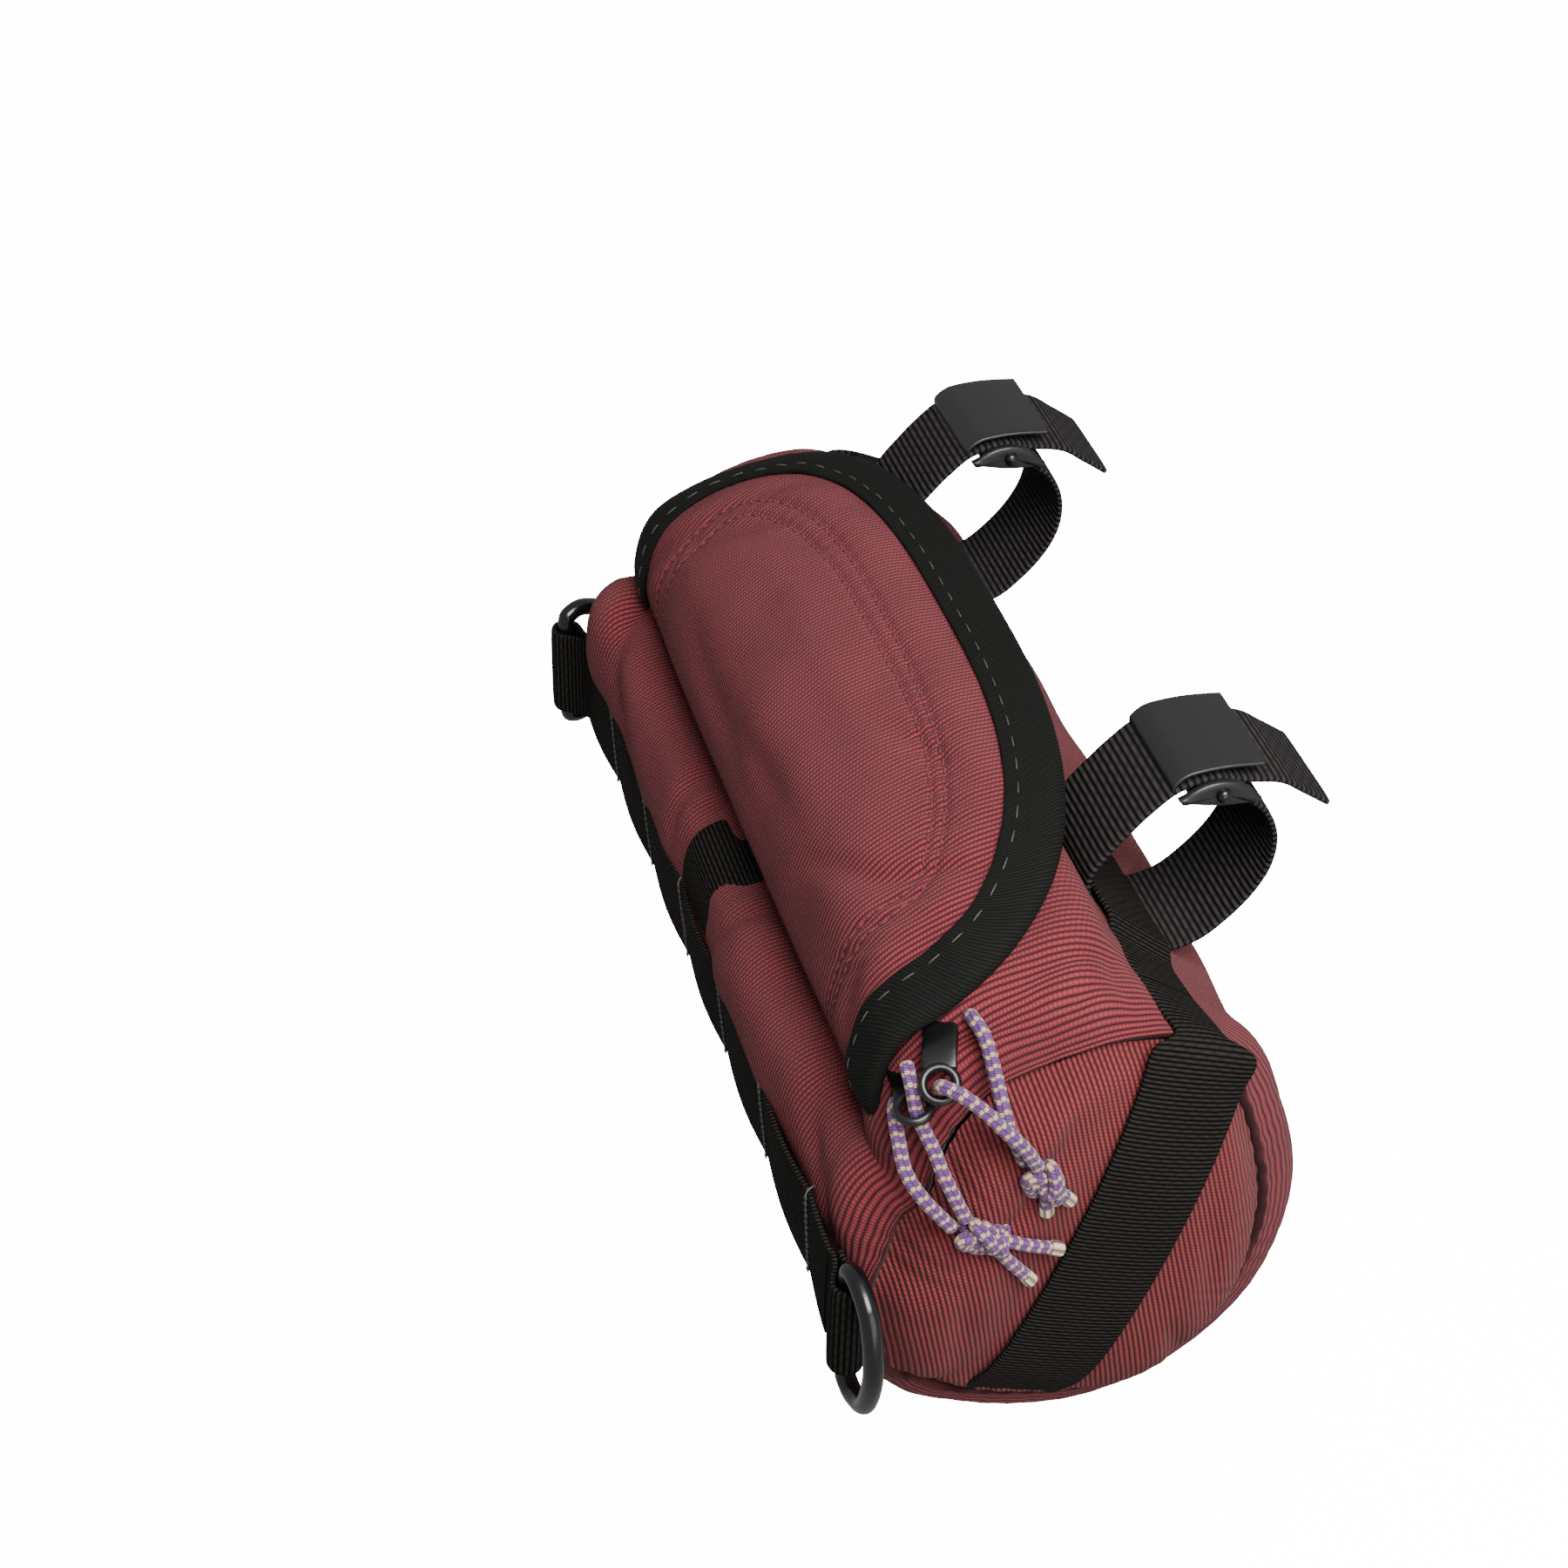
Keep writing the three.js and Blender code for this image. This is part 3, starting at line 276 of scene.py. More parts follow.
cord_routes = {
    "1a": [
        [98.3, -57.6, -0.4], [102.3, -57.6, 2.2], [107, -56.9, 0.6], [112, -57.2, -5.3],
        [116.5, -57.8, -9], [119, -57.9, -13.5], [121, -56.4, -22.3],
    ],
    "1b": [
        [110.9, -68.7, -4.6], [113.4, -68.4, -1.9], [116.8, -65.6, -2.3], [119.8, -62.3, -5.6],
        [122.6, -59.5, -9.8], [124, -56.6, -15], [123.9, -54.5, -21.8],
    ],
    "2a": [
        [99.9, -75.9, -15.7], [105.2, -77.7, -13], [109.5, -78.8, -16.6], [114, -79.4, -21.8],
        [118, -77.7, -26.8], [120.4, -73.6, -35.1],
    ],
    "2b": [
        [104.5, -73.2, -2], [107.6, -73.6, -5.6], [109.2, -74, -10], [110.8, -73.6, -14.4],
        [113.8, -72.8, -18.6], [117.4, -72.4, -23.4], [120.9, -70.5, -33.3],
    ],
}
for name, route in cord_routes.items():
    line = spline(route, 90)
    tube_object(f"cord_{name}", line, 1.5, 20, braid, "cord", [f"pull_cord_{name}"])

# Knots
# Each pair of strands ends in an overhand knot tied with both together, pulled tight, and two short cut
# tails whose ends are frayed cream threads.
frayed, tree, shader, along, turns = start_material("frayed_ends")
strands = calc(tree, "ABSOLUTE", calc(tree, "SINE", calc(tree, "MULTIPLY", turns, 18)))
# Painted shade: the threads are pale on their tops and dark in the grooves between them.
tree.links.new(blend(tree, strands, (0.10, 0.07, 0.05), (0.5, 0.4, 0.3)), shader.inputs["Base Color"])
shader.inputs["Roughness"].default_value = 0.9
set_bump(tree, shader, strands, 0.5)


def turned(points, out):
    """Points turned from standing along Z to standing along out."""
    out = unit(np.array(out, float))
    side = unit(np.cross((1.0, 0.0, 0.0), out))
    frame_rows = np.stack([np.cross(side, out), side, out])
    return points @ frame_rows


def tied_line(shift, lean):
    """One strand of a tight overhand knot: (sin t + 2 sin 2t, cos t - 2 cos 2t) across and -sin 3t along."""
    t = np.linspace(0, 2 * math.pi, 160)
    line = np.stack([np.sin(t) + 2 * np.sin(2 * t), np.cos(t) - 2 * np.cos(2 * t), -2.75 * np.sin(3 * t)], -1)
    line *= (1.16, 1.16, 1.1)
    line[:, 2] += shift
    line[:, 0] += lean
    return line


for name, centre, out, tail in (
    ("1", (121.9, -53.2, -28.4), (0, 0.2, -0.98), 2),
    ("2", (121.6, -67.8, -39.2), (0.12, 0.66, -0.75), 10),
):
    way = unit(np.array(out, float))
    sideways = unit(np.cross((1.0, 0.0, 0.0), way))
    for n, shift in enumerate((-1.4, 1.4)):
        line = turned(tied_line(shift, 0.25 * shift), out) + centre
        tube_object(f"knot_{name}_{n}", line, 1.42, 16, braid, "cord")
    for n, lean in enumerate((-0.28, 0.28)):
        tail_way = unit(way + sideways * lean)
        start = np.array(centre) + tail_way * 1.5
        bow = np.cross(tail_way, sideways) * 0.6
        line = spline([start, start + tail_way * (3 + tail / 2) + bow, start + tail_way * (5 + tail)], 30)
        tube_object(f"tail_{name}_{n}", line, 1.45, 16, braid, "cord")
        fray = spline([line[-1] - tail_way * 0.4, line[-1] + tail_way * 0.7, line[-1] + tail_way * 1.5], 8)
        tube_object(f"fray_{name}_{n}", fray, 1.62, 16, frayed, "cord")
    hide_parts(f"pull_knot_{name}")

# Barrel
# The bag's body: one wide strip of ribbed maroon pack cloth over foam, sewn into a barrel with its length
# along the handlebar. Its mouth is cut in the top, under the lid, and its ribs run round it.


def woven(name, lit, groove_shade, pitch, check, depth, wander=0.12, sheen=0.03, slant=0.0, patches=0.25, shine=0.15):
    """Cloth with rounded ribs that repeat along U every pitch mm, each made of cells of check mm along V,
    with painted shade in the grooves between them.
    """
    material, tree, shader, u, v = start_material(name)
    drift = calc(tree, "MULTIPLY", calc(tree, "SUBTRACT", noise(tree, 90, 2), 0.5), wander * 4)
    across = calc(tree, "ADD", calc(tree, "ADD", u, calc(tree, "MULTIPLY", v, slant)), drift)
    rib_key = calc(tree, "DIVIDE", across, pitch)
    rib = calc(tree, "ABSOLUTE", calc(tree, "SINE", calc(tree, "MULTIPLY", rib_key, math.pi)))
    rib = calc(tree, "POWER", rib, 0.9)
    column = calc(tree, "MULTIPLY", calc(tree, "FLOOR", rib_key), 0.5)
    cell_key = calc(tree, "ADD", calc(tree, "DIVIDE", v, check), column)
    cell = calc(tree, "ABSOLUTE", calc(tree, "SINE", calc(tree, "MULTIPLY", cell_key, math.pi)))
    height = calc(tree, "MULTIPLY", rib, calc(tree, "ADD", calc(tree, "MULTIPLY", cell, 0.3), 0.7))
    # The colour runs from the dark colour deep in the grooves between ribs and cells to the lit colour on
    # their tops, which is painted shade, and varies in random patches of tone.
    patch = calc(tree, "ADD", calc(tree, "MULTIPLY", noise(tree, 55, 4), patches * 2), 1 - patches)
    groove_shade_and_patches = calc(tree, "MULTIPLY", calc(tree, "POWER", height, 1.2), patch)
    tree.links.new(blend(tree, groove_shade_and_patches, groove_shade, lit), shader.inputs["Base Color"])
    shader.inputs["Roughness"].default_value = 0.85
    shader.inputs["Specular IOR Level"].default_value = shine
    shader.inputs["Sheen Weight"].default_value = sheen
    shader.inputs["Sheen Roughness"].default_value = 0.5
    set_bump(tree, shader, height, depth)
    return material


pack_cloth = woven("pack_cloth", (0.19, 0.028, 0.036), (0.018, 0.003, 0.004), 1.1, 0.9, 0.42)

BAR_RADIUS = 15.9
STRAP_X = 65.5
HALF_WEB, WEB_THICK = 12.5, 1.6
CLOTH_WALL = 2
HALF_BODY = 110.0
BARREL_FRONT, BARREL_BOTTOM, BARREL_DEPTH, BARREL_HEIGHT = -98.5, -131.0, 107.5, 146.5
PANEL_FRONT, PANEL_BOTTOM, PANEL_DEPTH, PANEL_HEIGHT = -92.5, -119.0, 92.5, 110.8
barrel_sections = np.array([
    # depth and height of the middle, of the near end and of the far end, as shares, from the crease up
    [0.186, 0.706, 0.141, 0.772, 0.147, 0.865],
    [0.191, 0.805, 0.178, 0.835, 0.184, 0.934],
    [0.270, 0.911, 0.254, 0.921, 0.265, 0.984],
    [0.386, 0.973, 0.373, 0.986, 0.373, 1.012],
    [0.535, 1.000, 0.514, 1.000, 0.514, 1.030],
    [0.651, 0.983, 0.665, 0.993, 0.665, 1.018],
    [0.679, 0.874, 0.805, 0.943, 0.803, 0.955],
    [0.828, 0.713, 0.919, 0.853, 0.919, 0.853],
    [0.935, 0.580, 0.989, 0.668, 0.989, 0.668],
    [1.000, 0.362, 0.998, 0.397, 0.998, 0.397],
    [0.935, 0.157, 0.903, 0.190, 0.903, 0.190],
    [0.730, 0.034, 0.730, 0.050, 0.730, 0.050],
    [0.470, 0.000, 0.503, 0.002, 0.503, 0.002],
    [0.209, 0.068, 0.254, 0.077, 0.254, 0.077],
    [0.042, 0.239, 0.049, 0.212, 0.049, 0.212],
    [0.000, 0.430, 0.000, 0.406, -0.011, 0.424],
    [0.019, 0.580, 0.022, 0.596, -0.016, 0.641],
    [0.070, 0.676, 0.076, 0.713, 0.027, 0.839],
])
PER_KEY = 64


def loop(points):
    """Closed Catmull-Rom curve, PER_KEY places from each point to the next."""
    longer = np.concatenate([points[-2:], points, points[:3]])
    return spline(longer, (len(longer) - 1) * PER_KEY)[2 * PER_KEY:(2 + len(points)) * PER_KEY + 1]


barrel_start = np.array([BARREL_FRONT, BARREL_BOTTOM])
panel_start = np.array([PANEL_FRONT, PANEL_BOTTOM])
barrel_middle = loop(barrel_start + barrel_sections[:, 0:2] * (BARREL_DEPTH, BARREL_HEIGHT))
seam_near = loop(panel_start + barrel_sections[:, 2:4] * (PANEL_DEPTH, PANEL_HEIGHT))
seam_far = loop(panel_start + barrel_sections[:, 4:6] * (PANEL_DEPTH, PANEL_HEIGHT))
barrel_run = run_length(barrel_middle)
GIRTH = barrel_run[-1]


def key_run(key):
    """Length round the barrel's middle from the crease to a key number of its table."""
    return barrel_run[int(round(key * PER_KEY))]


def barrel_at(x, around):
    """A place on the barrel: its middle section, drawn to the end seam's by (x / half length) to the 3.2."""
    place = np.mod(around, GIRTH)
    middle = at_run(place, barrel_run, barrel_middle)
    near = at_run(place, barrel_run, seam_near)
    far = at_run(place, barrel_run, seam_far)
    pull = (np.abs(x / HALF_BODY) ** 3.2)[..., None]
    flat = middle + (np.where((x < 0)[..., None], far, near) - middle) * pull
    return np.concatenate([x[..., None], flat], -1)


def lifted(surface, x, around, lift):
    """A place moved off a soft surface along its outward normal."""
    x, around, lift = np.broadcast_arrays(*(np.asarray(value, float) for value in (x, around, lift)))
    along = surface(x + 0.5, around) - surface(x - 0.5, around)
    round_it = surface(x, around + 0.5) - surface(x, around - 0.5)
    return surface(x, around) + unit(np.cross(along, round_it)) * lift[..., None]


def swells(u, v, seed, count, longest, shortest):
    """Gentle unevenness from -1 to 1: a sum of sine waves in fixed random directions."""
    pick = np.random.default_rng(seed)
    total = np.zeros_like(u)
    for _ in range(count):
        wave = 2 * math.pi / pick.uniform(shortest, longest)
        turn = pick.uniform(0, math.pi)
        total += np.sin(wave * (u * math.cos(turn) + v * math.sin(turn)) + pick.uniform(0, 6.28))
    return total / math.sqrt(count) / 1.6


def folds(u, v, rows):
    """Sum of Gaussian ridges and dents: centre u and v, angle, half length, half width and height of each."""
    total = np.zeros_like(u)
    for u0, v0, angle, length, width, height in rows:
        c, s = math.cos(math.radians(angle)), math.sin(math.radians(angle))
        on, off = (u - u0) * c + (v - v0) * s, (v - v0) * c - (u - u0) * s
        total += height * np.exp(-((on / length) ** 2) - (off / width) ** 2)
    return total


def step_up(value, low, high):
    """Smooth step from 0 at low to 1 at high."""
    t = np.clip((value - low) / (high - low), 0, 1)
    return t * t * (3 - 2 * t)


def d_edge(half, front, side, back, s):
    """D-shaped edge: up one side, round the back as a superellipse of power 2.8, and down the other side."""
    turn = math.pi * np.clip((s - 0.16) / 0.68, 0, 1)
    c = np.cos(turn)
    x = np.where(s < 0.16, -half, np.where(s > 0.84, half, -half * np.sign(c) * np.abs(c) ** (2 / 2.8)))
    curved = side + (back - side) * np.abs(np.sin(turn)) ** (2 / 2.8)
    low = front + (side - front) * (s / 0.16)
    high = front + (side - front) * ((1 - s) / 0.16)
    return np.stack([x, np.where(s < 0.16, low, np.where(s > 0.84, high, curved))], -1)


def even_shares(edge, count):
    """Shares along an edge that are evenly spaced by length, and its whole length."""
    fine = np.linspace(0, 1, 4001)
    run = run_length(edge(fine))
    return np.interp(np.linspace(0, run[-1], count + 1), run, fine), run[-1]


def beside_edge(surface, edge, shares, distance, lift):
    """Places on a surface at a distance inwards from an edge on it, and at a height over it."""
    way = unit(edge(np.minimum(shares + 0.004, 1)) - edge(np.maximum(shares - 0.004, 0)))
    start = edge(shares)
    return lifted(surface, start[:, 0] + way[:, 1] * distance, start[:, 1] - way[:, 0] * distance, lift)


def inside_edge(u, v, outline):
    """Distance from each place to a D-shaped outline, positive inside it."""
    near = np.full(u.shape, 1e9)
    for a, b in zip(outline[:-1], outline[1:]):
        way = b - a
        t = np.clip(((u - a[0]) * way[0] + (v - a[1]) * way[1]) / (way @ way), 0, 1)
        near = np.minimum(near, np.hypot(u - a[0] - t * way[0], v - a[1] - t * way[1]))
    return near


def mouth_outline(s):
    """The mouth's edge on the barrel, in length along it and length round it."""
    return d_edge(84, 13, 38, 76, s)


rounds, lengths = 360, 250
around = np.linspace(0, GIRTH, rounds, endpoint=False)[:, None] * np.ones((1, lengths + 1))
t = np.linspace(-1, 1, lengths + 1)[None, :]
x = HALF_BODY * (0.8 * t + 0.2 * np.sin(t * math.pi / 2)) * np.ones((rounds, 1))
down = np.mod(-around, GIRTH)
from_seam = HALF_BODY - np.abs(x)
# The roll below the lid's crease, held down by the front tab, then the cloth's unevenness and creases
front_roll = step_up(down, 1, 9) * (1 - step_up(down, 24, 36))
beside_tab = 1 - np.exp(-((np.maximum(np.abs(x) - HALF_WEB, 0) / 7) ** 2))
lift = 1.8 * front_roll * beside_tab * (0.5 + 0.5 * step_up(from_seam, 4, 28))
lift += 0.9 * swells(x, around, 3, 14, 70, 22) * step_up(from_seam, 2, 22)
lift += folds(x, -down, [
    [22, -13, 70, 11, 3.4, -1.3], [-24, -14, 108, 11, 3.4, -1.2], [52, -10, 12, 34, 3.6, -0.8],
    [84, -15, 150, 16, 3.6, -1.3], [-88, -9, 140, 17, 3.4, -1.7], [-72, -20, 165, 20, 3.6, -0.9],
    [97, -22, 110, 12, 3.2, -1.2], [-50, -14, 172, 26, 4.0, -0.6],
])
low_part = step_up(down, 68, 82)
lift += low_part * folds(x, -down, [
    [70, -96, 28, 34, 4.5, -2.2], [40, -120, 160, 40, 5.5, -2.0], [-20, -105, 12, 46, 5.0, -1.8],
    [-70, -100, 150, 34, 4.5, -2.2], [85, -130, 60, 26, 4.0, -1.8], [-60, -140, 30, 36, 5.5, -1.6],
])
BACK_AROUND = key_run(6) + 9
# Creases that run from the webbing's corners and from the end seams
webbing_round = np.mod(around, GIRTH) - BACK_AROUND
lift += folds(x, around, [
    [101, BACK_AROUND - 22, 20, 11, 4.6, -2.4], [92, BACK_AROUND - 28, 168, 18, 6.0, 1.8],
    [99, key_run(6) - 14, 118, 15, 3.0, -1.4], [96, key_run(5) - 4, 100, 16, 3.4, -1.8],
    [101, key_run(3), 80, 14, 3.0, -1.6], [-98, key_run(4), 96, 15, 3.2, -1.6],
    [97, key_run(8) + 6, 80, 16, 3.2, -1.8], [-97, key_run(8) + 6, 100, 16, 3.2, -1.8],
])
# The swell and gathers beside each end seam and the turn into its gully, less where webbing holds it flat
held_flat = np.exp(-((np.maximum(np.abs(webbing_round) - 14, 0) / 12) ** 2))
held_flat = np.maximum(held_flat, np.exp(-((np.maximum(np.abs(down - 50) - 14, 0) / 7) ** 2)))
pucker = np.sin(2 * math.pi * around / 7.4 + 2.2 * swells(x * 0, around, 5, 6, 90, 30))
uneven = 0.6 + 0.4 * swells(x * 0, around, 17, 6, 120, 40)
end_swell = 0.3 * pucker * uneven * np.exp(-from_seam / 6) + 3.2 * np.exp(-(((from_seam - 12) / 8) ** 2))
lift += end_swell * (1 - held_flat)
lift -= 5.0 * np.exp(-((from_seam / 4.2) ** 2)) * (1 - 0.6 * held_flat)
lift = np.minimum(lift * (1 - 0.7 * held_flat), 0.1 + 7 * (1 - held_flat))
points = lifted(barrel_at, x, around, lift)
barrel_ends = {1: points[:, -1], -1: points[:, 0]}
coords = np.concatenate([np.stack([x, around], -1), np.stack([x[:1], around[:1] + GIRTH], -1)])
# The quads inside the mouth's edge are left out
mouth = mouth_outline(np.linspace(0, 1, 160))
middle_x, middle_around = (x[:, 1:] + x[:, :-1]) / 2, around[:, 1:] + GIRTH / rounds / 2
in_box = (np.abs(middle_x) < 84) & (middle_around > 13) & (middle_around < 76)
edge_x = np.interp(middle_around, mouth[80:, 1][::-1], mouth[80:, 0][::-1])
in_mouth = in_box & (np.abs(middle_x) < np.where(middle_around < 38, 84, edge_x))
barrel = grid_object(
    "barrel", points, coords, pack_cloth, "cloth", ["bag_body"], wrap=(True, False), keep=~in_mouth,
    wall=CLOTH_WALL,
)

# End panels
# Each end of the barrel is a round panel of the same cloth with upright ribs, sewn in by a turned seam that
# pulls the cloth into a gully. The webbing sewn across it presses it in, and it swells on both sides.
panel_cloth = woven("panel_cloth", (0.19, 0.030, 0.033), (0.018, 0.003, 0.004), 1.1, 0.9, 0.42)
PANEL_CENTRE = np.array([PANEL_FRONT + PANEL_DEPTH / 2, PANEL_BOTTOM + PANEL_HEIGHT / 2])


def web_line(side):
    """Where the webbing across an end panel starts and ends, in Y and Z."""
    ends = barrel_at(np.full(2, side * HALF_BODY), np.array([BACK_AROUND, key_run(13) + 4]))[:, 1:]
    return ends[0], ends[1] + (ends[0] - ends[1]) * 0.08


def panel_ring(side, places):
    """How far places in Y and Z are from the panel's centre, as a share of the way to its seam."""
    seam = (seam_far if side < 0 else seam_near) - PANEL_CENTRE
    angle, reach = np.arctan2(seam[:, 1], seam[:, 0]), np.linalg.norm(seam, axis=-1)
    order = np.argsort(angle)
    away = places - PANEL_CENTRE
    return np.linalg.norm(away, axis=-1) / np.interp(
        np.arctan2(away[..., 1], away[..., 0]), angle[order], reach[order], period=2 * math.pi)


for end, side in (("near", 1), ("far", -1)):
    barrel_end = barrel_ends[side]
    turns_round = run_length(barrel_end)
    rim = barrel_end[:, 1:]
    ring = np.sin(np.linspace(0, math.pi / 2, 101))[None, :] ** 0.9
    flat = PANEL_CENTRE + (rim - PANEL_CENTRE)[:, None] * ring[..., None]
    start, stop = web_line(side)
    run = unit(stop - start)
    off_web = (flat[..., 0] - start[0]) * run[1] - (flat[..., 1] - start[1]) * run[0]
    along_web = (flat[..., 0] - start[0]) * run[0] + (flat[..., 1] - start[1]) * run[1]
    past_foot = step_up(along_web, np.linalg.norm(stop - start) - 6, np.linalg.norm(stop - start) + 8)
    beside = 1 - np.exp(-((np.maximum(np.abs(off_web) - HALF_WEB, 0) / 11) ** 2)) * (1 - past_foot)
    y, z = flat[..., 0], flat[..., 1]
    to_rim = (1 - ring) * np.linalg.norm(rim - PANEL_CENTRE, axis=-1)[:, None]
    rise = 8 * (1 - ring**2.4) + 6.2 * beside * (1 - np.exp(-((to_rim / 8) ** 1.5))) * (1 - 0.4 * (1 - ring))
    rise += 0.8 * beside * swells(y, z, 8 + side, 12, 60, 20) * step_up(to_rim, 1, 14)
    rise += beside * folds(y, z, [
        [-31, -22, 208, 20, 3.6, -4.2], [-46, -24, 228, 17, 3.2, -3.0], [-24, -42, 244, 18, 3.4, -3.0],
        [-40, -16, 212, 14, 5.0, 2.6], [-66, -26, 240, 12, 4.5, 2.0],
        [-64, -42, 215, 13, 2.6, -1.8], [-20, -70, 262, 16, 3.0, -2.0], [-60, -92, 150, 15, 3.2, -1.8],
        [-30, -98, 100, 13, 2.8, -1.6], [-76, -70, 80, 15, 3.0, -1.8],
    ])
    ripple = np.sin(2 * math.pi * turns_round / 7.9 + 1.8 * np.sin(turns_round / 21))[:, None]
    rise += 0.12 * ripple * np.exp(-to_rim / 6) * step_up(to_rim, 0, 2)
    off_seam = (1 - np.exp(-((to_rim / 3.2) ** 2))) * (HALF_BODY + 2.6 - side * barrel_end[:, None, 0])
    points = np.concatenate([barrel_end[:, None, :1] + side * (rise + off_seam)[..., None], flat], -1)
    coords = np.concatenate([flat, flat[:1]])
    panel = grid_object(
        f"end_panel_{end}_cloth", points, coords, panel_cloth, "cloth", [f"end_panel_{end}"],
        wrap=(True, False), wall=CLOTH_WALL, flip=side < 0,
    )

# Lid flap
# A D-shaped padded flap over the mouth, hinged on the crease at the front. A double row of stitches runs
# inside its edge and puckers the cloth, and its ribs run across it.
lid_sections = np.array([
    # middle reach and height, end reach and height, as shares, from the crease to the back rim
    [0.000, 0.000, 0.008, 0.011],
    [-0.008, 0.278, 0.015, 0.268],
    [0.130, 0.685, 0.119, 0.514],
    [0.372, 0.899, 0.311, 0.610],
    [0.617, 0.991, 0.556, 0.653],
    [0.816, 1.000, 0.786, 0.653],
    [1.000, 0.974, 0.985, 0.610],
])
LID_FRONT = np.array([barrel_middle[0, 0] - 3.1, barrel_middle[0, 1] + 3])
LID_SIZE = np.array([-BAR_RADIUS - LID_FRONT[0], BARREL_BOTTOM + BARREL_HEIGHT + 6.7 - LID_FRONT[1]])
HALF_LID = 98.0
lid_knots = LID_FRONT + lid_sections[:, 0:2] * LID_SIZE
LID_BACK = run_length(lid_knots)[-1]


def carried_on(curve):
    """A curve with a straight piece of 6 mm added at both ends."""
    before_it = curve[:1] + unit(curve[:1] - curve[1:2]) * 6
    after_it = curve[-1:] + unit(curve[-1:] - curve[-2:-1]) * 6
    return np.concatenate([before_it, curve, after_it])


lid_middle = spline(lid_knots, 6 * PER_KEY)
lid_run = np.concatenate([[-6], run_length(lid_middle), [run_length(lid_middle)[-1] + 6]])
lid_middle = carried_on(lid_middle)
lid_end = carried_on(spline(LID_FRONT + lid_sections[:, 2:4] * LID_SIZE, 6 * PER_KEY))


def lid_at(x, around):
    """A place on the lid: its middle section drawn to its ends' by (x / half length) to the power 3.4."""
    middle = at_run(around, lid_run, lid_middle)
    end = at_run(around, lid_run, lid_end)
    pull = (np.minimum(np.abs(x / HALF_LID), 1.03) ** 3.4)[..., None]
    return np.concatenate([x[..., None], middle + (end - middle) * pull], -1)


def lid_outline(s):
    """The lid's edge, in length along it and length from the crease."""
    return d_edge(HALF_LID, 0, 40, LID_BACK, s)


shares, lid_edge_length = even_shares(lid_outline, 420)
edge = lid_outline(shares)
crease_x = np.linspace(-HALF_LID, HALF_LID, 421)
t = np.linspace(0, 1, 181)[None, :]
x = crease_x[:, None] + (edge[:, 0] - crease_x)[:, None] * t
around = edge[:, 1][:, None] * t
to_edge = inside_edge(x, around, lid_outline(np.linspace(0, 1, 300)))
edge_run = np.linspace(0, lid_edge_length, 421)[:, None]
# Two rows of stitches run 25 mm inside the edge, with the padding swelling beside them and puckers across
row_gap = 1.6 + 1.1 * step_up(-x, -60, 90)
from_row = np.minimum(np.abs(to_edge - 25 + row_gap), np.abs(to_edge - 25 - row_gap))
off_crease = step_up(around, 4, 20)
lift = off_crease * (1.0 * step_up(to_edge, 25, 42) + 0.9 * np.exp(-(((to_edge - 17.5) / 4.5) ** 2)))
lift -= 0.5 * np.exp(-((from_row / 1.0) ** 2)) * step_up(around, 2, 8)
ripples = np.sin(2 * math.pi * edge_run / 5.4 + 2.4 * np.sin(edge_run / 17) + 0.05 * (to_edge - 25))
strong = 0.35 + 0.65 * step_up(x, -20, 60)
lift += 0.3 * ripples * strong * np.exp(-(((to_edge - 24) / 6.5) ** 2)) * step_up(around, 14, 34)
lift += 0.5 * swells(x, around, 21, 14, 60, 18) * off_crease
lift += folds(x, around, [
    [-64, 50, 58, 19, 4.0, -1.7], [-80, 34, 70, 16, 3.6, -1.6], [-46, 62, 38, 15, 3.6, -1.2],
    [-70, 66, 60, 10, 3.0, -0.9], [58, 40, 38, 17, 3.4, -1.3], [70, 56, 64, 14, 3.0, -1.3],
    [40, 66, 24, 14, 3.0, -1.0], [12, 30, 8, 26, 4.5, -1.0], [-20, 24, 172, 26, 4.5, -0.9],
    [80, 26, 100, 14, 3.0, -1.0], [0, 56, 0, 34, 5.5, 0.6],
])
under_binding = 1 - step_up(to_edge, 10.5, 13)
lift = lift * (1 - under_binding) + 0.1 * under_binding
points = lifted(lid_at, x, around, lift)
coords = np.stack([x, around], -1)
lid = grid_object("lid", points, coords, pack_cloth, "cloth", ["lid_flap"], wall=CLOTH_WALL)


def thread_paint(name, colour, roughness):
    """Sewing thread of one colour."""
    material, _tree, shader, _u, _v = start_material(name)
    shader.inputs["Base Color"].default_value = (*colour, 1)
    shader.inputs["Roughness"].default_value = roughness
    return material


maroon_thread = thread_paint("maroon_thread", (0.09, 0.012, 0.019), 0.7)


def stitches(name, line, normals, length, radius, every, material, slot, lift=0.0):
    """A row of separate stitches along a line of places, each a short spindle of six sides."""
    run = run_length(line)
    at = np.arange(every / 2, run[-1], every)
    ways = unit(at_run(at + 0.3, run, line) - at_run(at - 0.3, run, line))
    normal = unit(at_run(at, run, normals))
    side = np.cross(ways, normal)
    turn = np.linspace(0, 2 * math.pi, 6, endpoint=False)[None, None, :, None]
    place = np.array([-0.5, -0.4, 0, 0.4, 0.5])[None, :, None, None]
    reach = np.array([0, 0.75, 1, 0.75, 0])[None, :, None, None]
    ring = side[:, None, None] * np.cos(turn) + normal[:, None, None] * np.sin(turn)
    sink = np.array([-0.8, -0.2, 0.2, -0.2, -0.8])[None, :, None, None]
    body = at_run(at, run, line)[:, None, None] + normal[:, None, None] * (lift + radius * sink)
    points = (body + ways[:, None, None] * length * place + ring * radius * reach).reshape(-1, 6, 3)
    keep = np.ones((len(points) - 1, 6), bool)
    keep[4::5] = False
    coords = np.zeros((len(points), 7, 2))
    return grid_object(name, points, coords, material, slot, wrap=(False, True), keep=keep)


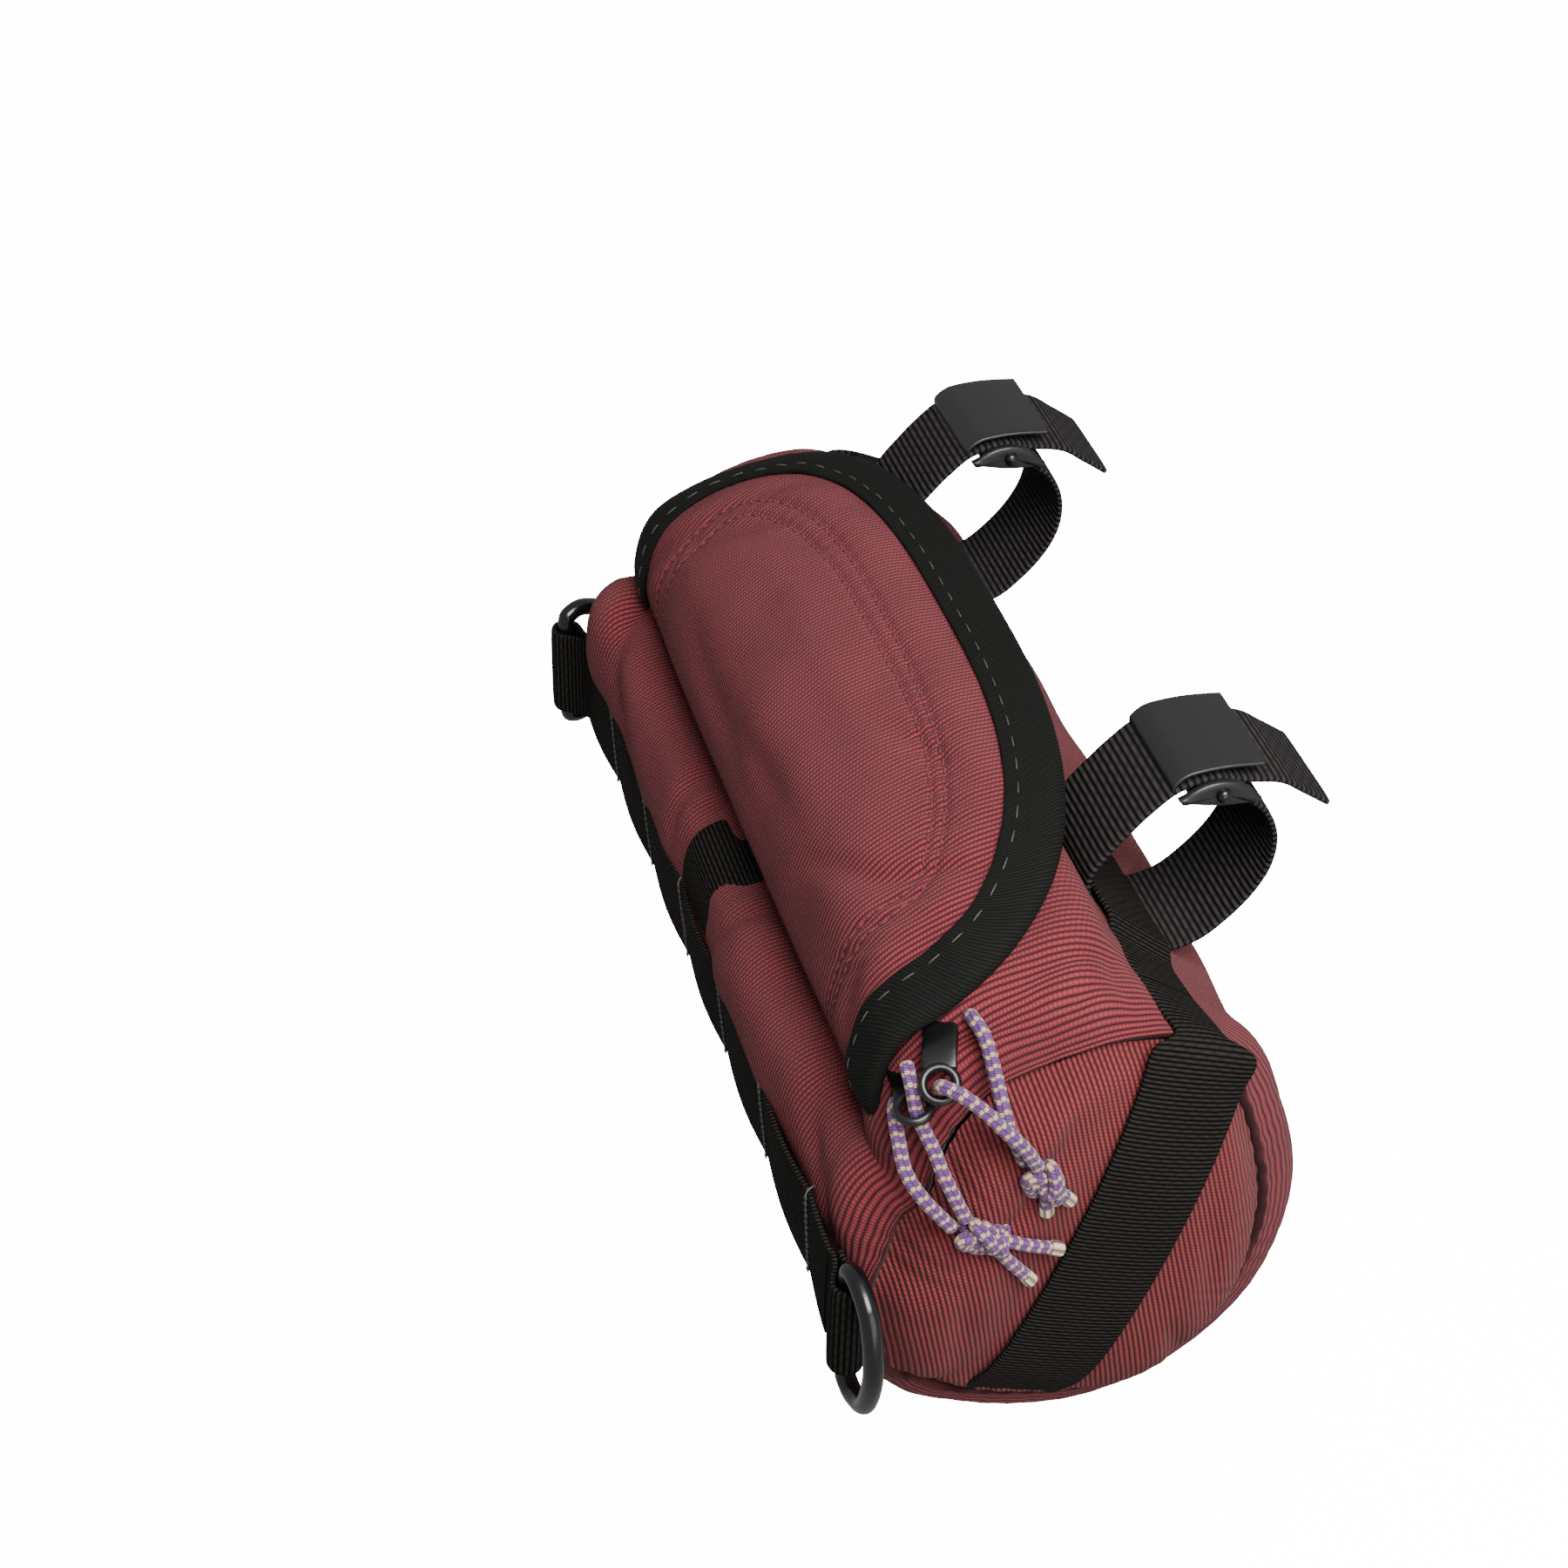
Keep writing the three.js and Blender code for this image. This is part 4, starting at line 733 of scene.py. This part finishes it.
lid_normals = unit(points - lifted(lid_at, x, around, lift - 1))
for label, sign in (("outer", -1), ("inner", 1)):
    wanted = 25 + sign * row_gap
    past = np.argmax(to_edge[:, ::-1] > wanted[:, ::-1], axis=1)
    column = 180 - past
    rows = np.arange(421)
    good = (to_edge.max(axis=1) > 27.5) & (column > 3) & (around[rows, column] > 5)
    line = points[rows, column][good]
    stitches(
        f"lid_stitches_{label}", line, lid_normals[rows, column][good], 2.2, 0.26, 2.9, maroon_thread,
        "cloth", lift=0.15,
    )

# Binding
# A tape of black twill folded over the lid's free edge and sewn through with long grey-green stitches. The
# sewing leaves it a little uneven.
binding_twill = woven(
    "binding_twill", (0.006, 0.006, 0.005), (0.0006, 0.0006, 0.0006), 0.95, 6.0, 0.12, sheen=0.0, slant=0.8,
    patches=0.15, shine=0.12,
)
shares, _ = even_shares(lid_outline, 520)
shares = shares[lid_outline(shares)[:, 1] > 5]


def binding_place(distance, lift):
    """Places at a distance inwards from the lid's edge and a height over its upper face."""
    return beside_edge(lid_at, lid_outline, shares, distance, lift)


run = run_length(binding_place(0, 0.0))
wobble = 0.16 * np.sin(run / 2.3 + 1.5 * np.sin(run / 9)) + 0.12 * np.sin(run / 5.1)
profile = np.array([
    # distance inwards from the lid's edge and height over its upper face, round the outside of the tape
    [11, 0.15], [11.1, 0.7], [10.6, 1.2], [8, 1.35], [4, 1.4], [0.6, 1.2], [-0.8, 0.3], [-1.4, -1],
    [-0.8, -2.3], [0.6, -3.2], [4, -3.3], [8, -3.3], [10.8, -3.1], [11, -2.6],
])
outer = spline(profile, 78)
outer_run = run_length(outer)
inner = spline([[10.9, -2.3], [4, -2.25], [0.6, -2.2], [-0.2, -1], [0.6, 0.05], [4, 0.1], [10.9, 0.08]], 26)
loop_profile = np.concatenate([outer, inner])
grid = []
for distance, lift in loop_profile:
    free = step_up(lift, -0.5, 0.6) * (0.3 + 0.7 * step_up(distance, 1, 9))
    grid.append(binding_place(distance, lift + wobble * free))
points = np.stack(grid, 1)
loop_run = np.concatenate([outer_run, outer_run[-1] + 0.5 + run_length(inner)])
loop_run = np.append(loop_run, loop_run[-1] + 0.5)
coords = pairs(run, loop_run)
middle = points.mean(axis=1, keepdims=True) * np.ones_like(points)
points = np.concatenate([middle[:1], points, middle[-1:]])
coords = np.concatenate([coords[:1], coords, coords[-1:]])
grid_object(
    "binding", points, coords, binding_twill, "binding", ["flap_binding"], wrap=(False, True), flip=True
)
pale_thread = thread_paint("grey_green_thread", (0.03, 0.034, 0.027), 0.6)
line = binding_place(8.3, 1.35 + wobble)
normals = unit(line - binding_place(8.3, 0.35 + wobble))
stitches("binding_stitches", line, normals, 3.4, 0.2, 6.4, pale_thread, "binding", lift=0.1)

# Zip
# A coil zip in a U under the lid: black tape sewn to the mouth's edge, its teeth below, and two sliders
# parked at the near end.
webbing_cloth = woven(
    "webbing_cloth", (0.019, 0.017, 0.015), (0.0004, 0.0004, 0.0004), 1.05, 3.2, 0.4, wander=0.05, sheen=0.0,
    patches=0.15, shine=0.03,
)


def gloss(name, colour, roughness):
    """Plain plastic or coated metal with a fine unevenness."""
    material, tree, shader, _u, _v = start_material(name)
    shader.inputs["Base Color"].default_value = (*colour, 1)
    grain = noise(tree, 300, 3)
    rough = calc(tree, "ADD", calc(tree, "MULTIPLY", grain, 0.12), roughness - 0.06)
    tree.links.new(rough, shader.inputs["Roughness"])
    set_bump(tree, shader, noise(tree, 900, 2), 0.02)
    return material


black_plastic = gloss("black_plastic", (0.003, 0.003, 0.003), 0.34)
ring_gloss = gloss("ring_gloss", (0.003, 0.003, 0.0035), 0.22)
coated_metal = gloss("coated_metal", (0.006, 0.006, 0.006), 0.42)


def band(rows, thickness, smooth_to, sides=44):
    """A strip of webbing or plate from rows of its left, middle and right place: points and UVs. Its section
    is a flat superellipse, which rounds its edges, and it closes at both ends."""
    rows = spline(np.asarray(rows, float), smooth_to)
    left, middle, right = rows[:, 0], rows[:, 1], rows[:, 2]
    turn = np.linspace(0, 2 * math.pi, sides, endpoint=False)
    v = np.sign(np.cos(turn)) * np.abs(np.cos(turn)) ** 0.45
    h = np.sign(np.sin(turn)) * np.abs(np.sin(turn)) ** 0.3 * thickness / 2
    across = (right - left) / 2
    bend = (right + left) / 2 - middle
    flat = middle[:, None] + across[:, None] * v[None, :, None] + bend[:, None] * (v**2)[None, :, None]
    slope = across[:, None] + 2 * bend[:, None] * v[None, :, None]
    normal = unit(np.cross(np.gradient(flat, axis=0), slope))
    points = flat + normal * h[None, :, None]
    points = np.concatenate([flat[:1], points, flat[-1:]])
    run = run_length(middle)
    run = np.concatenate([[run[0] - thickness / 2], run, [run[-1] + thickness / 2]])
    width = np.linalg.norm(across, axis=-1).mean()
    return points, pairs(run, np.append(v, v[0]) * width)


def strip_object(name, rows, thickness, smooth_to, material, slot, nodes=(), sides=44, flip=False):
    """An object that is a strip along rows of places."""
    points, coords = band(rows, thickness, smooth_to, sides)
    return grid_object(name, points, coords, material, slot, nodes, wrap=(False, True), flip=flip)


def zip_outline(s):
    """The line of the zip's teeth on the barrel, a little inside the mouth's edge."""
    return d_edge(79, 22, 38, 71, s)


def zip_rows(shares, half, lift):
    """Rows of places across the zip: half mm to both sides of its line, that height over the barrel."""
    rows = [beside_edge(barrel_at, zip_outline, shares, distance, lift) for distance in (-half, 0, half)]
    return np.stack(rows, 1)


zip_shares, zip_length = even_shares(zip_outline, 90)
strip_object("zip_tape", zip_rows(zip_shares, 7, 1.1), 0.8, 180, webbing_cloth, "webbing", ["zipper_tape"])
fine_shares, _ = even_shares(zip_outline, int(zip_length / 1.3))
fine_shares = fine_shares[fine_shares < 0.9]
rows = zip_rows(fine_shares, 2.5, -0.9)
side = unit(rows[:, 2] - rows[:, 0])
steps_on = np.arange(len(rows) * 6)
smooth_line = at_run(steps_on / 6, np.arange(len(rows)), rows[:, 1])
smooth_side = at_run(steps_on / 6, np.arange(len(rows)), side)
smooth_way = np.gradient(smooth_line, axis=0)
rise = unit(np.cross(smooth_way, smooth_side))
phase = steps_on * (2 * math.pi / 6)
coil = smooth_line + smooth_side * (2.0 * np.cos(phase))[:, None] + rise * (0.35 * np.sin(phase))[:, None]
tube_object("zip_teeth", coil, 0.36, 6, black_plastic, "zip_plastic", ["zipper_coil"])
for name in ("zipper_slider_1", "zipper_slider_2"):
    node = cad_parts[name]
    node.data.materials.clear()
    node.data.materials.append(black_plastic)
    soft_edge = node.modifiers.new("soft_edge", "BEVEL")
    soft_edge.width = 0.5 * MM
    soft_edge.segments = 2

# Zip pulls
# A smooth black plastic tab on each slider reaches out from under the lid's edge over the barrel's shoulder,
# and the cord loop goes through the eye in its wider tip.
pull_rows = (
    # name, half width, way across at the slider, way across at the tip, and the line from slider to tip
    ("1", 3.6, (0, 0.85, 0.5), (0.25, 0.95, -0.15), [
        [84.6, -63.5, 2], [91, -63.4, -0.1], [98.5, -63.8, -1.4], [105, -66.3, -1.8], [110.5, -68.4, -4.4],
        [113, -68.8, -7.6],
    ]),
    ("2", 3, (0, 0.66, 0.75), (0.25, 0.95, -0.15), [
        [84.6, -74.9, -8.3], [91, -73.9, -10.4], [98.5, -73.4, -10.2], [104, -73.9, -9.6],
        [109, -74.2, -9.8], [113.2, -74.8, -10.8],
    ]),
)
for name, half, across_slider, across_tip, line in pull_rows:
    line = spline(line, 200)
    run = run_length(line)
    t = run / run[-1]
    tangent = unit(np.gradient(line, axis=0))
    across = np.array(across_slider) * (1 - t)[:, None] + np.array(across_tip) * t[:, None]
    up = unit(np.cross(tangent, across))
    across = np.cross(up, tangent)
    tip = 8.8
    eye_at = run[-1] - tip / 2
    rows = np.stack([line - across * half, line, line + across * half], 1)[run < run[-1] - tip + 1.6]
    strip_object(f"pull_tab_{name}", rows[::6], 1.9, 60, black_plastic, "zip_plastic", sides=28)
    at = int(np.argmin(np.abs(run - eye_at)))
    turn = np.linspace(0, 2 * math.pi, 72)
    frame_along, frame_across = tangent[at], across[at]
    ring_line = line[at] + 3.45 * (frame_along * np.cos(turn)[:, None] + frame_across * np.sin(turn)[:, None])
    ring_turn = np.linspace(0, 2 * math.pi, 18, endpoint=False)[None, :, None]
    outward = unit(ring_line - line[at])[:, None]
    section = outward[:-1] * np.cos(ring_turn) * 0.98 + up[at] * np.sin(ring_turn) * 1.05
    grid_object(
        f"pull_eye_{name}", ring_line[:-1, None] + section, np.zeros((72, 19, 2)), black_plastic,
        "zip_plastic", [f"slider_pull_{name}"], wrap=(True, True),
    )

# Daisy chain
# Black webbing stretched along the front, sewn down by bar tacks of grey thread with a little slack between
# them, so that each length of it makes a shallow loop.
DAISY_TOP, DAISY_FRONT = -42.0, -100.2
x = np.linspace(-110, 110, 261)
slack = 1.2 * np.abs(np.sin(math.pi * (x - 23) / 35))
lean = 2.4 + 2.6 * (x / 110) ** 4
bottom = DAISY_FRONT - (lean - 2.4) / 2 - slack
high = np.stack([x, bottom + lean, np.full_like(x, DAISY_TOP)], -1)
low = np.stack([x, bottom, np.full_like(x, DAISY_TOP - 25)], -1)
rows = np.stack([low, (low + high) / 2, high], 1)
strip_object("daisy_webbing", rows, WEB_THICK, 520, webbing_cloth, "webbing", ["daisy_chain"], flip=True)
grey_thread = thread_paint("grey_thread", (0.045, 0.046, 0.045), 0.6)
for n, tack in enumerate(np.arange(-82, 99, 35)):
    zig = np.linspace(0, 1, 61)
    height = DAISY_TOP - 0.6 - 23.8 * zig
    zigzag = tack + 1.1 * (2 / math.pi) * np.arcsin(np.sin(zig * 26 * math.pi))
    inwards = np.interp(zigzag, x, bottom) + np.interp(zigzag, x, lean) * (1 - (DAISY_TOP - height) / 25)
    over = np.stack([zigzag, inwards - 1.0, height], -1)
    start = [[tack - 1.1, inwards[0] + 1.4, DAISY_TOP + 0.1], [tack, inwards[0] - 0.2, DAISY_TOP + 0.75]]
    tube_object(f"bar_tack_{n}", np.concatenate([start, over]), 0.22, 6, grey_thread, "webbing")

# Front tab
# A short piece of the same webbing runs from under the lid's crease down the front to the daisy chain, and
# presses the front of the barrel in.
down_to = 0.0
while barrel_at(np.array([0.0]), np.array([-down_to]))[0, 2] > DAISY_TOP + 0.3:
    down_to += 0.25
steps = -np.linspace(1.6, down_to, 24)
across = (HALF_WEB, 0.0, -HALF_WEB)
rows = np.stack([lifted(barrel_at, np.full(24, place), steps, 1.5) for place in across], 1)
strip_object("front_tab_webbing", rows, WEB_THICK, 80, webbing_cloth, "webbing", ["front_tab"])

# Back webbing
# Webbing along the back of the barrel that holds the two handlebar straps, and hops over each of them. It
# lies flat on the cloth between them.
x = np.linspace(-96, 96, 90)
hop = 2.4 * (1 - step_up(np.abs(np.abs(x) - STRAP_X) - HALF_WEB, 2, 9))
rows = np.stack([
    lifted(barrel_at, x, np.full(90, BACK_AROUND + place), 0.5 + WEB_THICK / 2 + hop)
    for place in (-HALF_WEB, 0, HALF_WEB)
], 1)
strip_object(
    "back_webbing_strip", rows, WEB_THICK, 360, webbing_cloth, "webbing", ["back_webbing"], flip=True
)

# End webbing
# At each end, webbing comes round from the back over the seam, where it folds, and runs down across the end
# panel into the seam at the bottom.
over_panel = 0.3 + CLOTH_WALL + 0.9 + WEB_THICK / 2
for end, side in (("near", 1), ("far", -1)):
    start, stop = web_line(side)
    run = unit(stop - start)
    across = np.array([-run[1], run[0]])
    rows = []
    for n in range(4):
        x = side * (96.3 + 14 * n / 3)
        rows.append([
            lifted(barrel_at, x, BACK_AROUND + place, 0.5 + WEB_THICK / 2 + n / 3).tolist()
            for place in (-HALF_WEB, 0, HALF_WEB)
        ])
    for n in range(13):
        middle = start + (stop - start) * n / 12
        row = []
        sunk = 3.5 * max(0, (n - 10) / 2) ** 2
        for place in (HALF_WEB, 0, -HALF_WEB):
            spot = middle - across * place
            ring = min(float(panel_ring(side, spot)), 1.0)
            row.append([side * (HALF_BODY + over_panel + 8 * (1 - ring**2.4) - sunk), *spot])
        rows.append(row)
    strip_object(
        f"end_webbing_{end}_strip", rows, WEB_THICK, 240, webbing_cloth, "webbing", [f"end_webbing_{end}"],
        flip=side > 0,
    )

# Webbing loops and D-rings
# At each end of the daisy chain its webbing is folded back into a loop, which holds a black plastic D-ring
# by its straight bar.
ring_outline = np.array([
    # outwards and upwards, as shares of the ring's reach and half length
    [0, 0], [0, 0.8], [0.1, 0.98], [0.42, 0.99], [0.8, 0.74], [1, 0], [0.8, -0.74], [0.42, -0.99],
    [0.1, -0.98], [0, -0.8],
])


def spin(axis, degrees):
    """Rotation about X or Z."""
    c, s = math.cos(math.radians(degrees)), math.sin(math.radians(degrees))
    return np.array([[1, 0, 0], [0, c, -s], [0, s, c]] if axis == "x" else [[c, -s, 0], [s, c, 0], [0, 0, 1]])


for end, side, loop_swing, ring_swing in (("near", 1, 0, 5), ("far", -1, 35, 100)):
    swung_out = WEB_THICK * math.sin(math.radians(loop_swing))
    hung = np.array([side * (110.3 + swung_out), DAISY_FRONT + 1.2, DAISY_TOP - HALF_WEB])
    heading = -loop_swing if side > 0 else 180 + loop_swing
    turned_by = spin("x", -math.degrees(math.atan2(5, 2 * HALF_WEB))) @ spin("z", heading)
    half_fold = [[0, 0.85], [2, 0.95], [4.4, 1.7], [6.6, 2.75], [8.85, 3.35], [11.2, 2.37]]
    fold_line = half_fold + [[12.2, 0]] + [[a, -b] for a, b in reversed(half_fold)]
    rows = np.array([[[a, b, HALF_WEB], [a, b, 0], [a, b, -HALF_WEB]] for a, b in fold_line])
    rows = rows @ turned_by.T + hung
    strip_object(f"loop_{end}", rows, WEB_THICK, 160, webbing_cloth, "webbing", [f"ring_loop_{end}"])
    shape = loop(ring_outline * (14.5, (25 + 2 * 4.5 + 4 - 4.5) / 2))[::4][:-1]
    centre = np.stack([shape[:, 0], np.zeros(len(shape)), shape[:, 1]], -1)
    tangent = unit(np.roll(centre, -1, axis=0) - np.roll(centre, 1, axis=0))
    outward = unit(np.cross((0.0, 1.0, 0.0), tangent))
    turn = np.linspace(0, 2 * math.pi, 20, endpoint=False)[None, :, None]
    points = centre[:, None] + 2.25 * (outward[:, None] * np.cos(turn) + np.array([0, 1.0, 0]) * np.sin(turn))
    points = points @ spin("z", side * ring_swing).T + (8.85, 0, 0)
    grid_object(f"ring_{end}", points @ turned_by.T + hung, np.zeros((len(points) + 1, 21, 2)), ring_gloss,
                "ring_plastic", [f"d_ring_{end}"], wrap=(True, True))

# Handlebar straps
# Two straps of coarse webbing lie round the handlebar: from the buckle down behind it, up the bag's back,
# over the bar and through the buckle, with a cut tail behind. The bar itself is left out.
strap_webbing = woven(
    "strap_webbing", (0.028, 0.025, 0.024), (0.0005, 0.0005, 0.0005), 1.5, 4.0, 0.5, wander=0.05, sheen=0.0,
    patches=0.15, shine=0.08,
)
strap_route = np.array([
    # angle up from the front, height of the strap's middle off the bar
    [131, 1.9], [155, 1.9], [180, 1.9], [205, 1.9], [230, 2.2], [255, 3.8], [275, 6.6], [293, 8.2],
    [310, 5.8], [325, 5.2], [340, 5.95], [355, 8.1], [372, 7.6], [388, 5.2], [405, 3.6], [425, 3.6],
    [445, 5.0], [465, 5.7], [483, 5.7],
])


def round_bar(angle, lift):
    """Y and Z at an angle up from the bar's front and a height off its surface."""
    turn, reach = np.radians(angle), BAR_RADIUS + lift
    return np.stack([-reach * np.cos(turn), reach * np.sin(turn)], -1)


def level_rows(x, half, line):
    """Rows of a strip that lies level across X, from its line in Y and Z."""
    return np.array([[[x + place, y, z] for place in (-half, 0, half)] for y, z in line])


for end, side in (("near", 1), ("far", -1)):
    free_tail = [[20, 14.5], [25, 9.5], [30, 4]]
    centre = np.concatenate([round_bar(strap_route[:, 0], strap_route[:, 1]), free_tail])
    rows = level_rows(side * STRAP_X, HALF_WEB, centre)
    strip_object(f"strap_{end}", rows, WEB_THICK, 420, strap_webbing, "webbing", [f"bar_strap_{end}"])

# Buckles
# Each strap is held by a cam buckle of black coated metal: a curved plate on the bar between two lens-shaped
# ears with a rivet, and a cover plate over the strap whose front edge is folded down.
for end, side in (("near", 1), ("far", -1)):
    x = side * STRAP_X
    half = 14.8
    plate = round_bar(np.linspace(90, 130, 9), 3.5)
    rows = level_rows(x, half - 0.6, plate)
    strip_object(f"buckle_plate_{end}", rows, 1.0, 40, coated_metal, "black_metal", [f"buckle_frame_{end}"])
    for label, way in (("left", -1), ("right", 1)):
        share = np.concatenate([np.linspace(-1, 1, 40), np.linspace(1, -1, 40)[1:-1]])
        swell = np.maximum(1 - share**2, 0.25) * 3 * np.where(np.arange(78) < 40, 1, -1)
        outline = round_bar(110 + 28 * share, 3.5 + swell)
        middle = round_bar(np.array([110.0]), np.array([3.5]))[0]
        shrink = np.array([0, 0.5, 0.86, 0.95, 1, 1, 0.95, 0.86, 0.5, 0])
        offset = np.array([1, 1, 1, 0.85, 0.5, -0.5, -0.85, -1, -1, -1]) * 1.0
        flat = middle + (outline - middle)[None] * shrink[:, None, None]
        at = x + way * (half - 1) + offset[:, None] * np.ones((1, 78))
        points = np.concatenate([at[..., None], flat], -1)
        grid_object(
            f"buckle_ear_{end}_{label}", points, np.zeros((10, 79, 2)), coated_metal, "black_metal",
            wrap=(False, True),
        )
        seat = np.array([x + way * half, *middle])
        line = np.linspace(seat - (way * 2.0, 0, 0), seat + (way * 0.7, 0, 0), 4)
        tube_object(f"rivet_{end}_{label}", line, 1.6, 20, ring_gloss, "black_metal")
    cover = [[-3.0, 21.2], [-2.4, 22.6], [0.5, 23.9], [4.5, 23.7], [9, 22.9], [13, 21.8], [17, 20.5]]
    rows = level_rows(x, HALF_WEB, cover)
    strip_object(
        f"buckle_cover_{end}_plate", rows, 1.2, 60, coated_metal, "black_metal", [f"buckle_cover_{end}"],
        flip=True,
    )
